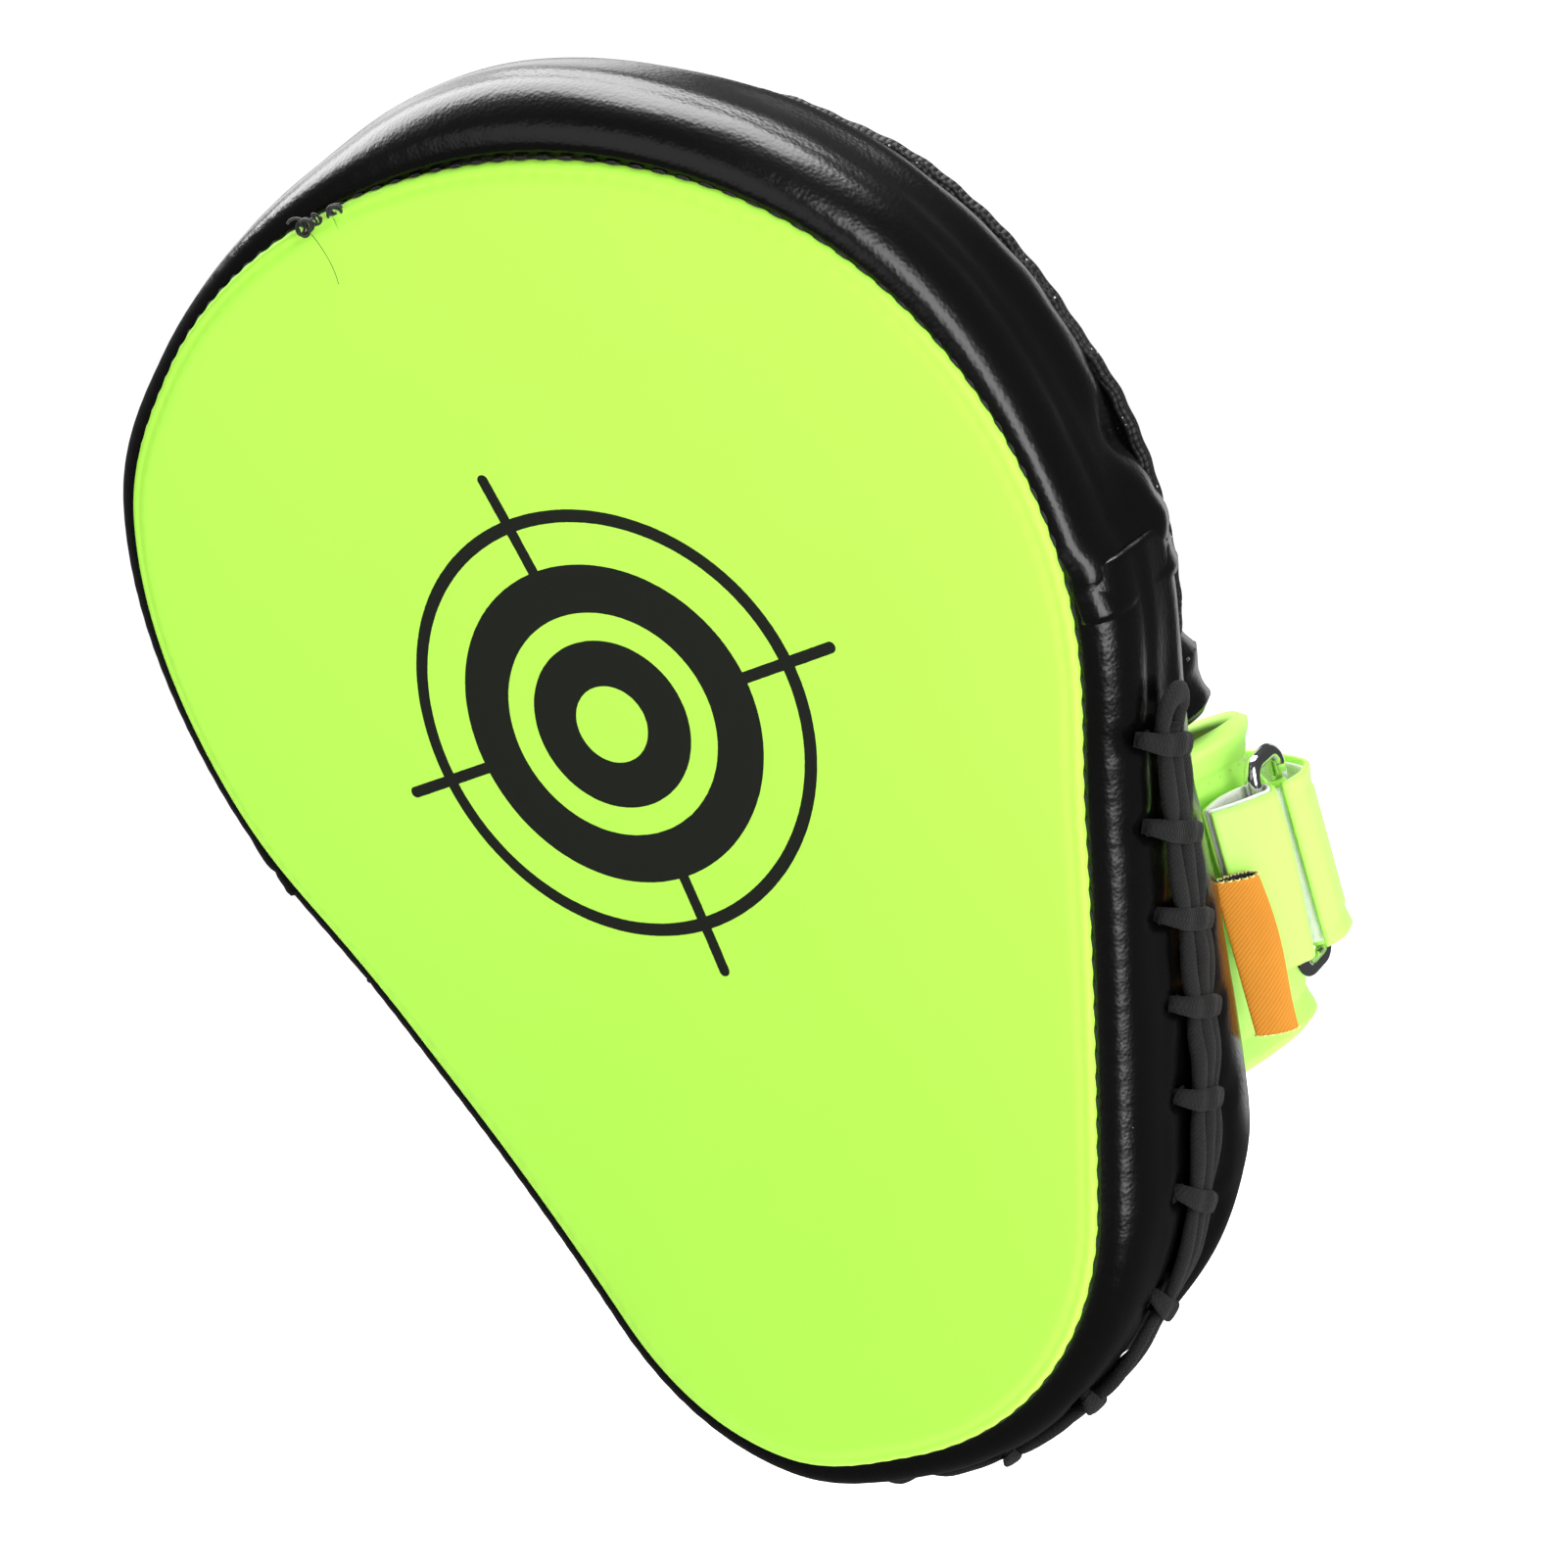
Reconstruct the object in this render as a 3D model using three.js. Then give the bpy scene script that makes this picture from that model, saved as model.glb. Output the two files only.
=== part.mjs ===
// Curved focus mitt: a crowned strike face on laminated foam, a padded side wall laced around
// the wrist end, and on the back a hand cover, a two-winged wrist cuff and a buckled strap.
//
// Millimetres. +Z runs towards the fingertips, -Y is the way the strike face looks, +X is to the
// right when the face is seen from the front. Plan points (x, z) are counted from the middle of
// the printed target, and "depth" from the front seam towards the hand. The part's origin is
// where the palm rests on the back panel.
import * as THREE from 'three';

// ---------------------------------------------------------------- driving dimensions

// Front seam, right half: crown, shoulder, straight flank and wrist end.
const TOP_Z = 98.5;
const SHOULDER = { x: 91.3, z: 14 };
const FLANK_TOP = { x: 76, z: -41 };
const FLANK_END = { x: 52, z: -104 };
const WRIST_Z = -138;

// The whole pad is bent about an axis across the hand, so that both ends come forward.
const SEAM_Y = 3.7;
const BEND_RADIUS = 435;
const FACE_CENTRE_Z = -12;
const FACE_CROWN = 3.7;
const FACE_SHEET = 1.5;

// Thickness of the pad behind the front seam.
const PAD_DEPTH = 31;
const WRIST_EXTRA_DEPTH = 23;
const CROWN_EXTRA_DEPTH = 5;
const WALL_BULGE = 7.2;
const WALL_REAR_OFFSET = 3.2;
const WALL_SHEET = 1.4;
const CORE_FROM = 0.36;
const CORE_TO = 0.62;
const PANEL_SHEET = 1.4;
const GAP = 0.3;
const LAYER_GAP = 1.1;

// The upper wall laps over the lower one at both sides.
const LAP_Z = -7;
const LAP_WIDTH = 8;

// Lacing around the wrist end.
const LACE_RADIUS = 1.8;
const LACE_SPREAD = 4.1;
const LACE_START_Z = -30;
const LACE_STEPS = 36;
const BIGHT_REACH = 6.5;
const TIES_PER_SIDE = 9;
const TIE_FIRST_Z = -34;
const TIE_WIDTH = 7;
const TIE_FRONT = 11;
const TIE_REAR = 9.5;
const TIE_SHEET = 1.3;
const TIE_HUMP = 4.6;

// Binding tape over the rear seam.
const BINDING_IN = -2.6;
const BINDING_OUT = 3;
const BINDING_SHEET = 1.6;

// Where the palm rests, on the back panel.
const SEAT_Z = -20;

// Hand cover.
const COVER_MOUTH_Z = -42;
const COVER_LENGTH = 125;
const COVER_HALF_WIDTH = 69;
const COVER_HEIGHT = 40;
const COVER_BULGE = 7;
const COVER_SHEET = 2.4;

// Wrist cuff wings and the closure strap on them.
const CUFF_TOP_Z = -50;
const CUFF_TOP_DROP = 12;
const CUFF_END_Z = -109;
const CUFF_HEIGHT = 46;
const CUFF_TOP_BULGE = 5;
const CUFF_END_BULGE = 12;
const CUFF_INSET = 7;
const WING_SHEET = 2;
const WING_REACH = 0.9;
const PAD_SHEET = 2.5;
const STRAP_TOP_Z = -62.5;
const STRAP_END_Z = -95;
const STRAP_SHEET = 1.6;
const STACK_GAP = 0.6;

// Frame of the right flank: along it towards the wrist, and square to it, outwards.
const FLANK_ALONG = new THREE.Vector3(
  FLANK_END.x - FLANK_TOP.x, 0, FLANK_END.z - FLANK_TOP.z).normalize();
const FLANK_OUT = new THREE.Vector3(-FLANK_ALONG.z, 0, FLANK_ALONG.x);

// Buckle ring: its two long bars lie along the flank.
const RING_WIRE = 1.5;
const RING_BAR_IN = { out: 9.4, y: 59.4 };
const RING_BAR_OUT = { out: 10, y: 69.4 };
const RING_FROM = 14;
const RING_TO = 55.5;
const RING_CORNER = 3;
const STRAP_FROM = 18.5;
const STRAP_TO = 51.5;
const BIGHT_INNER = 2.8;

// The ring, its anchor and the label all lean away from the pad towards the wrist, by so much
// for each millimetre along the flank.
const LEAN_MIDDLE = 36;
const LEAN_OUT = 0.14;
const LEAN_BACK = 0.1;

// Label loop in the rear seam.
const LABEL_FROM = 30;
const LABEL_TO = 61;
const LABEL_ROOT = { out: 4.4, y: 44.3 };
const LABEL_TIP = { out: 9.8, y: 50.4 };
const LABEL_HALF = 1.9;
const LABEL_SHEET = 0.6;

// ---------------------------------------------------------------- the pad's own surfaces

const { lerp, smoothstep, degToRad } = THREE.MathUtils;

/** The front seam as a closed path, clockwise from the crown. */
function frontSeam() {
  const seam = new THREE.Shape();
  seam.moveTo(0, TOP_Z);
  seam.bezierCurveTo(50, TOP_Z, SHOULDER.x, 68, SHOULDER.x, SHOULDER.z);
  seam.bezierCurveTo(SHOULDER.x, -12, 83, -23, FLANK_TOP.x, FLANK_TOP.z);
  seam.lineTo(FLANK_END.x, FLANK_END.z);
  seam.bezierCurveTo(44.4, -124, 27, WRIST_Z, 0, WRIST_Z);
  seam.bezierCurveTo(-27, WRIST_Z, -44.4, -124, -FLANK_END.x, FLANK_END.z);
  seam.lineTo(-FLANK_TOP.x, FLANK_TOP.z);
  seam.bezierCurveTo(-83, -23, -SHOULDER.x, -12, -SHOULDER.x, SHOULDER.z);
  seam.bezierCurveTo(-SHOULDER.x, 68, -50, TOP_Z, 0, TOP_Z);
  return seam;
}

const SEAM = frontSeam();
const SEAM_LENGTH = SEAM.getLength();
const SEAT_Y = seamY(SEAT_Z) + padDepth(SEAT_Z) + PANEL_SHEET;

/** How far back the bent front seam lies at height z. */
function seamY(z) {
  return SEAM_Y - z * z / (2 * BEND_RADIUS);
}

/** Thickness of the pad at height z: deeper at the wrist, a little deeper at the crown. */
function padDepth(z) {
  const wrist = 1 - smoothstep(z, -110, -10);
  const crown = smoothstep(z, 30, TOP_Z);
  return PAD_DEPTH + WRIST_EXTRA_DEPTH * wrist + CROWN_EXTRA_DEPTH * crown;
}

/** How far the wall stands outside the seam, at a fraction of the pad's depth. */
function wallOffset(fraction) {
  if (fraction < 0.2) {
    const rise = 1 - fraction / 0.2;
    return 1.8 + (WALL_BULGE - 1.8) * Math.sqrt(1 - rise * rise);
  }
  const fall = Math.max(0, (fraction - 0.72) / 0.28);
  return lerp(WALL_BULGE, WALL_REAR_OFFSET, fall * fall);
}

/** A point of the part from its place counted from the target, with y counted as depth is. */
function fromTarget(x, y, z) {
  return new THREE.Vector3(x, y - SEAT_Y, z - SEAT_Z);
}

/** A point at a plan place and a depth behind the bent front seam. */
function inPad(x, z, depth) {
  return fromTarget(x, seamY(z) + depth, z);
}

/** The seam's plan point and outward normal at a fraction of its length. */
function seamFrame(at) {
  const wrapped = ((at % 1) + 1) % 1;
  const step = 0.5 / SEAM_LENGTH;
  const point = SEAM.getPoint(wrapped);
  const next = SEAM.getPoint((wrapped + step) % 1);
  const last = SEAM.getPoint((wrapped - step + 1) % 1);
  const along = next.sub(last).normalize();
  return { point, normal: new THREE.Vector2(-along.y, along.x) };
}

/** A point beside the seam: outside it by offset, behind it by depthOf(z). */
function besideSeam(at, offset, depthOf) {
  const { point, normal } = seamFrame(at);
  const z = point.y + normal.y * offset;
  return inPad(point.x + normal.x * offset, z, depthOf(point.y));
}

/** The fraction of the seam's length where its right side passes height z. */
function seamAt(z) {
  let low = 0;
  let high = 0.5;
  while (high - low > 1e-6) {
    const middle = (low + high) / 2;
    if (SEAM.getPoint(middle).y > z) low = middle;
    else high = middle;
  }
  return low;
}

/** Half the width of the seam across the straight flank, at height z. */
function flankWidth(z) {
  const slope = (FLANK_TOP.x - FLANK_END.x) / (FLANK_TOP.z - FLANK_END.z);
  return FLANK_TOP.x + (z - FLANK_TOP.z) * slope;
}

/** A point in the right flank's own frame, which leans as the ring and the label do. */
function onFlank(along, out, y) {
  const past = along - LEAN_MIDDLE;
  const point = new THREE.Vector3(FLANK_TOP.x, 0, FLANK_TOP.z);
  point.addScaledVector(FLANK_ALONG, along).addScaledVector(FLANK_OUT, out + LEAN_OUT * past);
  return fromTarget(point.x, y + LEAN_BACK * past, point.z);
}

// ---------------------------------------------------------------- closed bodies

/** A geometry from points and triangles, turned so that its faces point out. */
function body(points, triangles) {
  let volume = 0;
  for (const [a, b, c] of triangles) {
    volume += points[a].dot(points[b].clone().cross(points[c]));
  }
  const index = triangles.flatMap(([a, b, c]) => (volume > 0 ? [a, b, c] : [a, c, b]));
  const geometry = new THREE.BufferGeometry().setFromPoints(points);
  geometry.setIndex(index);
  geometry.computeVertexNormals();
  return geometry;
}

/** Skins rings of equal length into one body, joined end to end or capped by fans. */
function loft(rings, joined = false) {
  const size = rings[0].length;
  const points = rings.flat();
  const triangles = [];
  const spans = joined ? rings.length : rings.length - 1;
  for (let row = 0; row < spans; row += 1) {
    const next = (row + 1) % rings.length;
    for (let column = 0; column < size; column += 1) {
      const beside = (column + 1) % size;
      const [a, b] = [row * size + column, row * size + beside];
      const [c, d] = [next * size + beside, next * size + column];
      triangles.push([a, b, c], [a, c, d]);
    }
  }
  if (joined) return body(points, triangles);
  for (const row of [0, rings.length - 1]) {
    const middle = new THREE.Vector3();
    rings[row].forEach((point) => middle.addScaledVector(point, 1 / size));
    const hub = points.push(middle) - 1;
    for (let column = 0; column < size; column += 1) {
      const [a, b] = [row * size + column, row * size + (column + 1) % size];
      triangles.push(row === 0 ? [b, a, hub] : [a, b, hub]);
    }
  }
  return body(points, triangles);
}

/** A sheet with thickness: pointAt(row, column, side) on a grid, side 0 inside, 1 outside. */
function sheet(rows, columns, pointAt) {
  const rings = [];
  for (let row = 0; row <= rows; row += 1) {
    const ring = [];
    for (let column = 0; column <= columns; column += 1) ring.push(pointAt(row, column, 1));
    for (let column = columns; column >= 0; column -= 1) ring.push(pointAt(row, column, 0));
    rings.push(ring);
  }
  const size = 2 * (columns + 1);
  const points = rings.flat();
  const triangles = [];
  for (let row = 0; row < rows; row += 1) {
    for (let column = 0; column < size; column += 1) {
      const [a, b] = [row * size + column, row * size + (column + 1) % size];
      triangles.push([a, b, b + size], [a, b + size, a + size]);
    }
  }
  for (let column = 0; column < columns; column += 1) {
    const [a, b] = [column, column + 1];
    const [c, d] = [size - 2 - column, size - 1 - column];
    const last = rows * size;
    triangles.push([b, a, d], [b, d, c]);
    triangles.push([last + a, last + b, last + c], [last + a, last + c, last + d]);
  }
  return body(points, triangles);
}

// ---------------------------------------------------------------- foam, face and back panel

const PAD_STEPS = 48;

/** One ring of a layer: a share of the way from the middle to the seam, then offset. */
function layerRing({ share = 1, offset = 0, depthOf, flat = false }) {
  const ring = [];
  for (let step = 0; step < PAD_STEPS; step += 1) {
    const { point, normal } = seamFrame(step / PAD_STEPS);
    const x = point.x * share + normal.x * offset;
    const z = lerp(FACE_CENTRE_Z, point.y, share) + normal.y * offset;
    ring.push(inPad(x, z, flat ? depthOf(z) + seamY(FACE_CENTRE_Z) - seamY(z) : depthOf(z)));
  }
  return ring;
}

const SHARES = [0.12, 0.4, 0.7, 0.9, 1];

/** A layer of the pad between two depths; edge lists its rim as [offset, depthOf(z)]. */
function layer({ front, back, edge = [], flat = false }) {
  const rings = SHARES.map((share, place) => layerRing({
    share, flat: flat && place === 0, depthOf: (z) => front(share, z) }));
  edge.forEach(([offset, depthOf]) => rings.push(layerRing({ offset, depthOf })));
  for (const share of [...SHARES].reverse()) {
    rings.push(layerRing({ share, depthOf: (z) => back(share, z) }));
  }
  return loft(rings);
}

/** Depth of the crowned face at a share of the way out to the seam. */
function faceDepth(share) {
  return -FACE_CROWN * (1 - share ** 3);
}

/** The rim of a foam layer that fills the wall between two fractions of the depth. */
function foamEdge(from, to) {
  return [from, to].map((fraction) => [
    wallOffset(fraction) - WALL_SHEET - 0.6,
    (z) => fraction * padDepth(z),
  ]);
}

function strikeFace() {
  return layer({ front: faceDepth, back: (share) => faceDepth(share) + FACE_SHEET, flat: true });
}

function strikeFoam() {
  return layer({
    front: (share) => faceDepth(share) + FACE_SHEET + LAYER_GAP,
    back: (share, z) => CORE_FROM * padDepth(z),
    edge: foamEdge(0.09, CORE_FROM),
  });
}

function foamCore() {
  return layer({
    front: (share, z) => CORE_FROM * padDepth(z) + LAYER_GAP,
    back: (share, z) => CORE_TO * padDepth(z),
    edge: foamEdge(CORE_FROM + 0.02, CORE_TO),
  });
}

function palmFoam() {
  return layer({
    front: (share, z) => CORE_TO * padDepth(z) + LAYER_GAP,
    back: (share, z) => padDepth(z) - LAYER_GAP,
    edge: foamEdge(CORE_TO + 0.02, 0.95),
  });
}

function backPanel() {
  return layer({
    front: (share, z) => padDepth(z),
    back: (share, z) => padDepth(z) + PANEL_SHEET,
    edge: [[1.2, padDepth], [1.2, (z) => padDepth(z) + PANEL_SHEET]],
  });
}

// ---------------------------------------------------------------- side wall, binding and lacing

const WALL_FRACTIONS = [0.01, 0.05, 0.12, 0.2, 0.5, 0.72, 0.88, 1];

/** A length of side wall between two places on the seam, with an extra stand-off at each. */
function wall(from, to, steps, standOff) {
  return sheet(steps, WALL_FRACTIONS.length - 1, (row, column, side) => {
    const at = lerp(from, to, row / steps);
    const fraction = WALL_FRACTIONS[column];
    const offset = wallOffset(fraction) - (1 - side) * WALL_SHEET + standOff(at);
    return besideSeam(at, offset, (z) => fraction * padDepth(z));
  });
}

const LAP_AT = seamAt(LAP_Z);
const LAP_SHARE = LAP_WIDTH / SEAM_LENGTH;

function upperWall() {
  const reach = LAP_AT + LAP_SHARE / 2;
  const standOff = (at) => {
    const inside = (reach - Math.abs(at)) / LAP_SHARE;
    return (WALL_SHEET + GAP) * (1 - smoothstep(inside, 1, 1.6));
  };
  return wall(-reach, reach, 40, standOff);
}

function lowerWall() {
  const from = LAP_AT - LAP_SHARE / 2;
  return wall(from, 1 - from, 44, () => 0);
}

function edgeBinding() {
  const rings = [];
  for (let step = 0; step < PAD_STEPS; step += 1) {
    const at = step / PAD_STEPS;
    const low = (z) => padDepth(z) + PANEL_SHEET + GAP;
    const high = (z) => low(z) + BINDING_SHEET;
    rings.push([
      besideSeam(at, BINDING_IN, low),
      besideSeam(at, BINDING_OUT, low),
      besideSeam(at, BINDING_OUT, high),
      besideSeam(at, BINDING_IN, high),
    ]);
  }
  return loft(rings, true);
}

/** Depth of the middle lace strand where the seam passes height z. */
function laceDepth(z) {
  const flank = 1 - smoothstep(z, -95, -25);
  const wrist = 1 - smoothstep(z, -138, -118);
  return 16.7 + 11.3 * flank - 8 * wrist;
}

const LACE_AT = seamAt(LACE_START_Z);

/** A ring of lace lying on the wall; turn is how far it has swung from running along it. */
function laceRing(at, shift, turn) {
  const sides = 6;
  const ring = [];
  for (let side = 0; side < sides; side += 1) {
    const around = 2 * Math.PI * side / sides;
    const out = WALL_BULGE + GAP + LACE_RADIUS * (1 + Math.cos(around));
    const across = LACE_RADIUS * Math.sin(around);
    const back = shift + across * Math.cos(turn);
    const along = -across * Math.sin(turn) / SEAM_LENGTH;
    ring.push(besideSeam(at + along, out, (z) => laceDepth(z) + back));
  }
  return ring;
}

/** The rings of a strand between two places on the seam, at one shift in depth. */
function strand(from, to, steps, shift, turn = 0) {
  const rings = [];
  for (let step = 0; step <= steps; step += 1) {
    rings.push(laceRing(lerp(from, to, step / steps), shift, turn));
  }
  return rings;
}

/** The rings of a bight beyond one end of the lace; way is the sense it leaves in. */
function bight(end, way) {
  const bends = 6;
  const rings = [];
  for (let bend = 1; bend < bends; bend += 1) {
    const turn = Math.PI * bend / bends;
    const reach = way * BIGHT_REACH * Math.sin(turn) / SEAM_LENGTH;
    const shift = -way * LACE_SPREAD * Math.cos(turn);
    rings.push(laceRing(end + reach, shift, way > 0 ? turn : turn + Math.PI));
  }
  return rings;
}

/** The doubled lace: two legs round the wrist end, joined by a bight at both ends. */
function laceLoop() {
  return loft([
    ...strand(LACE_AT, 1 - LACE_AT, LACE_STEPS, -LACE_SPREAD),
    ...bight(1 - LACE_AT, 1),
    ...strand(1 - LACE_AT, LACE_AT, LACE_STEPS, LACE_SPREAD, Math.PI),
    ...bight(LACE_AT, -1),
  ], true);
}

function laceRunner() {
  const clear = (LACE_SPREAD * 0.5) / SEAM_LENGTH;
  return loft(strand(LACE_AT + clear, 1 - LACE_AT - clear, LACE_STEPS, 0));
}

/** A flat turn of lace over the three strands, at one place on the seam. */
function laceTie(at) {
  const half = TIE_WIDTH / 2 / SEAM_LENGTH;
  const columns = 8;
  return sheet(1, columns, (row, column, side) => {
    const share = column / columns;
    const depth = lerp(-TIE_FRONT, TIE_REAR, share);
    const hump = Math.sin(Math.PI * share) ** 0.2 * TIE_HUMP;
    const out = WALL_BULGE + GAP + hump + side * TIE_SHEET;
    return besideSeam(at + (row * 2 - 1) * half, out, (z) => laceDepth(z) + depth);
  });
}

// ---------------------------------------------------------------- hand cover, cuff and strap

/** A point of an arch over the panel: 0 at its foot, 1 over the middle of the hand. */
function archPoint({ foot, bulge, height, steep }, share) {
  const curve = new THREE.CubicBezierCurve(
    new THREE.Vector2(foot, 0),
    new THREE.Vector2(foot + 3 * bulge, steep * height),
    new THREE.Vector2(Math.max(foot - 5, 0.6 * foot), height),
    new THREE.Vector2(0, height),
  );
  return curve.getPoint(share);
}

/**
 * A sheet arched over the panel: pathAt(z) lists its points, low and high are its faces, and
 * drop is how far its first edge falls from its first column to its last.
 */
function archedSheet(zFrom, zTo, rows, pathAt, low, high, drop = 0) {
  const columns = pathAt(zFrom).length - 1;
  return sheet(rows, columns, (row, column, side) => {
    const z = lerp(zFrom - drop * column / columns, zTo, row / rows);
    const path = pathAt(z);
    const last = path[Math.max(column - 1, 0)];
    const next = path[Math.min(column + 1, path.length - 1)];
    const along = next.clone().sub(last).normalize();
    const lift = side === 1 ? high : low;
    const x = path[column].x + along.y * lift;
    const y = path[column].y - along.x * lift;
    const base = seamY(z) + padDepth(z) + PANEL_SHEET + GAP;
    return fromTarget(x, base + Math.max(y, 0), z);
  });
}

function handCover() {
  const sides = 9;
  const pathAt = (z) => {
    const reach = (z - COVER_MOUTH_Z) / COVER_LENGTH;
    const foot = COVER_HALF_WIDTH * Math.sqrt(1 - reach ** 3);
    const height = COVER_HEIGHT * (1 - reach ** 2) ** 0.75;
    const bulge = COVER_BULGE * (1 - reach ** 2) ** 2;
    const points = [];
    for (let step = 0; step <= sides; step += 1) {
      points.push(archPoint({ foot, bulge, height, steep: 0.55 }, step / sides));
    }
    const mirrored = points.slice(0, -1).reverse().map((p) => new THREE.Vector2(-p.x, p.y));
    return [...points, ...mirrored];
  };
  const topZ = COVER_MOUTH_Z + 0.965 * COVER_LENGTH;
  return archedSheet(COVER_MOUTH_Z, topZ, 11, pathAt, -COVER_SHEET, 0);
}

/** The cuff's arch at height z, from one share of it to another, on one side (+1 right). */
function cuffPath(z, from, to, steps, side = 1) {
  const reach = (CUFF_TOP_Z - z) / (CUFF_TOP_Z - CUFF_END_Z);
  const bulge = lerp(CUFF_TOP_BULGE, CUFF_END_BULGE, reach);
  const foot = flankWidth(z) - CUFF_INSET;
  const points = [];
  for (let step = 0; step <= steps; step += 1) {
    const share = lerp(from, to, step / steps);
    const point = archPoint({ foot, bulge, height: CUFF_HEIGHT, steep: 0.8 }, share);
    points.push(new THREE.Vector2(point.x * side, point.y));
  }
  return side === 1 ? points : points.reverse();
}

function cuffWing(side) {
  const pathAt = (z) => cuffPath(z, 0, WING_REACH, 12, side);
  const top = side === 1 ? CUFF_TOP_Z : CUFF_TOP_Z - CUFF_TOP_DROP;
  return archedSheet(top, CUFF_END_Z, 5, pathAt, 0, WING_SHEET, side * CUFF_TOP_DROP);
}

function cuffPad(side) {
  const pathAt = (z) => cuffPath(z, 0.02, WING_REACH, 12, side);
  const top = side === 1 ? CUFF_TOP_Z : CUFF_TOP_Z - CUFF_TOP_DROP;
  const drop = side * CUFF_TOP_DROP;
  const lift = -GAP - 0.1;
  return archedSheet(top - 2, CUFF_END_Z + 2, 5, pathAt, lift - PAD_SHEET, lift, drop);
}

const STRAP_LIFT = WING_SHEET + STACK_GAP;
const LOOP_LIFT = STRAP_LIFT + STRAP_SHEET + GAP;
const HOOK_LIFT = LOOP_LIFT + 1 + GAP;
const FLAP_LIFT = HOOK_LIFT + 0.8 + STACK_GAP;

function closureStrap() {
  const pathAt = (z) => [
    ...cuffPath(z, 0.42, 0.94, 10),
    ...cuffPath(z, 0.4, 1, 12, -1),
  ];
  return archedSheet(STRAP_TOP_Z, STRAP_END_Z, 2, pathAt, STRAP_LIFT, STRAP_LIFT + STRAP_SHEET);
}

function loopPatch() {
  const pathAt = (z) => cuffPath(z, 0.56, 0.98, 8);
  return archedSheet(STRAP_TOP_Z - 2, STRAP_END_Z + 2, 2, pathAt, LOOP_LIFT, LOOP_LIFT + 1);
}

function hookPatch() {
  const pathAt = (z) => cuffPath(z, 0.6, 0.86, 6);
  return archedSheet(STRAP_TOP_Z - 2, STRAP_END_Z + 2, 2, pathAt, HOOK_LIFT, HOOK_LIFT + 0.8);
}

/** The strap's free end: a quarter turn round the ring's outer bar, then back over itself. */
function closureFlap() {
  const middle = BIGHT_INNER + STRAP_SHEET / 2;
  const pathAt = (z) => {
    const foot = seamY(z) + padDepth(z) + PANEL_SHEET + GAP;
    const along = (z - FLANK_TOP.z - FLANK_OUT.z * RING_BAR_OUT.out) / FLANK_ALONG.z;
    const past = along - LEAN_MIDDLE;
    const out = RING_BAR_OUT.out + LEAN_OUT * past;
    const bar = new THREE.Vector2(
      flankWidth(z) + out / FLANK_OUT.x, RING_BAR_OUT.y + LEAN_BACK * past - foot);
    const points = [];
    for (const turn of [-80, -55, -30, -5]) {
      const angle = degToRad(turn);
      points.push(new THREE.Vector2(
        bar.x + middle * Math.cos(angle), bar.y + middle * Math.sin(angle)));
    }
    points.push(new THREE.Vector2(bar.x + middle - 0.9, bar.y + 4.5));
    const lifted = cuffPath(z, 0.56, 0.9, 7);
    const lift = FLAP_LIFT + STRAP_SHEET / 2;
    lifted.forEach((point, place) => {
      const last = lifted[Math.max(place - 1, 0)];
      const next = lifted[Math.min(place + 1, lifted.length - 1)];
      const along = next.clone().sub(last).normalize();
      points.push(new THREE.Vector2(point.x + along.y * lift, point.y - along.x * lift));
    });
    return points;
  };
  const half = STRAP_SHEET / 2;
  return archedSheet(STRAP_TOP_Z, STRAP_END_Z, 2, pathAt, -half, half);
}

/** An outline in the plane square to the flank, drawn out along it. */
function alongFlank(shape, from, to) {
  const geometry = new THREE.ExtrudeGeometry(shape, {
    depth: to - from, bevelEnabled: false, curveSegments: 8 });
  const place = onFlank(to, 0, 0);
  const up = new THREE.Vector3(0, 1, 0);
  const ahead = FLANK_ALONG.clone().addScaledVector(FLANK_OUT, LEAN_OUT);
  ahead.addScaledVector(up, LEAN_BACK);
  const basis = new THREE.Matrix4().makeBasis(FLANK_OUT, up, ahead.negate());
  geometry.applyMatrix4(basis).translate(place.x, place.y, place.z);
  return geometry;
}

/** The short strap that is sewn into the rear seam and folded round the ring's inner bar. */
function ringAnchor() {
  const { out, y } = RING_BAR_IN;
  const outer = RING_WIRE + 1.9;
  const root = { out: 4.6, y: 48.9 };
  const lean = Math.atan2(y - root.y, out - root.out);
  const shape = new THREE.Shape();
  shape.absarc(out, y, outer, lean - Math.PI * 0.6, lean + Math.PI * 0.6, false);
  shape.lineTo(root.out - 0.9 * Math.sin(lean), root.y + 0.9 * Math.cos(lean));
  shape.lineTo(root.out + 0.9 * Math.sin(lean), root.y - 0.9 * Math.cos(lean));
  shape.closePath();
  const hole = new THREE.Path();
  hole.absarc(out, y, RING_WIRE + 0.5, 0, 2 * Math.PI, true);
  shape.holes.push(hole);
  return alongFlank(shape, STRAP_FROM, STRAP_TO);
}

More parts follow.
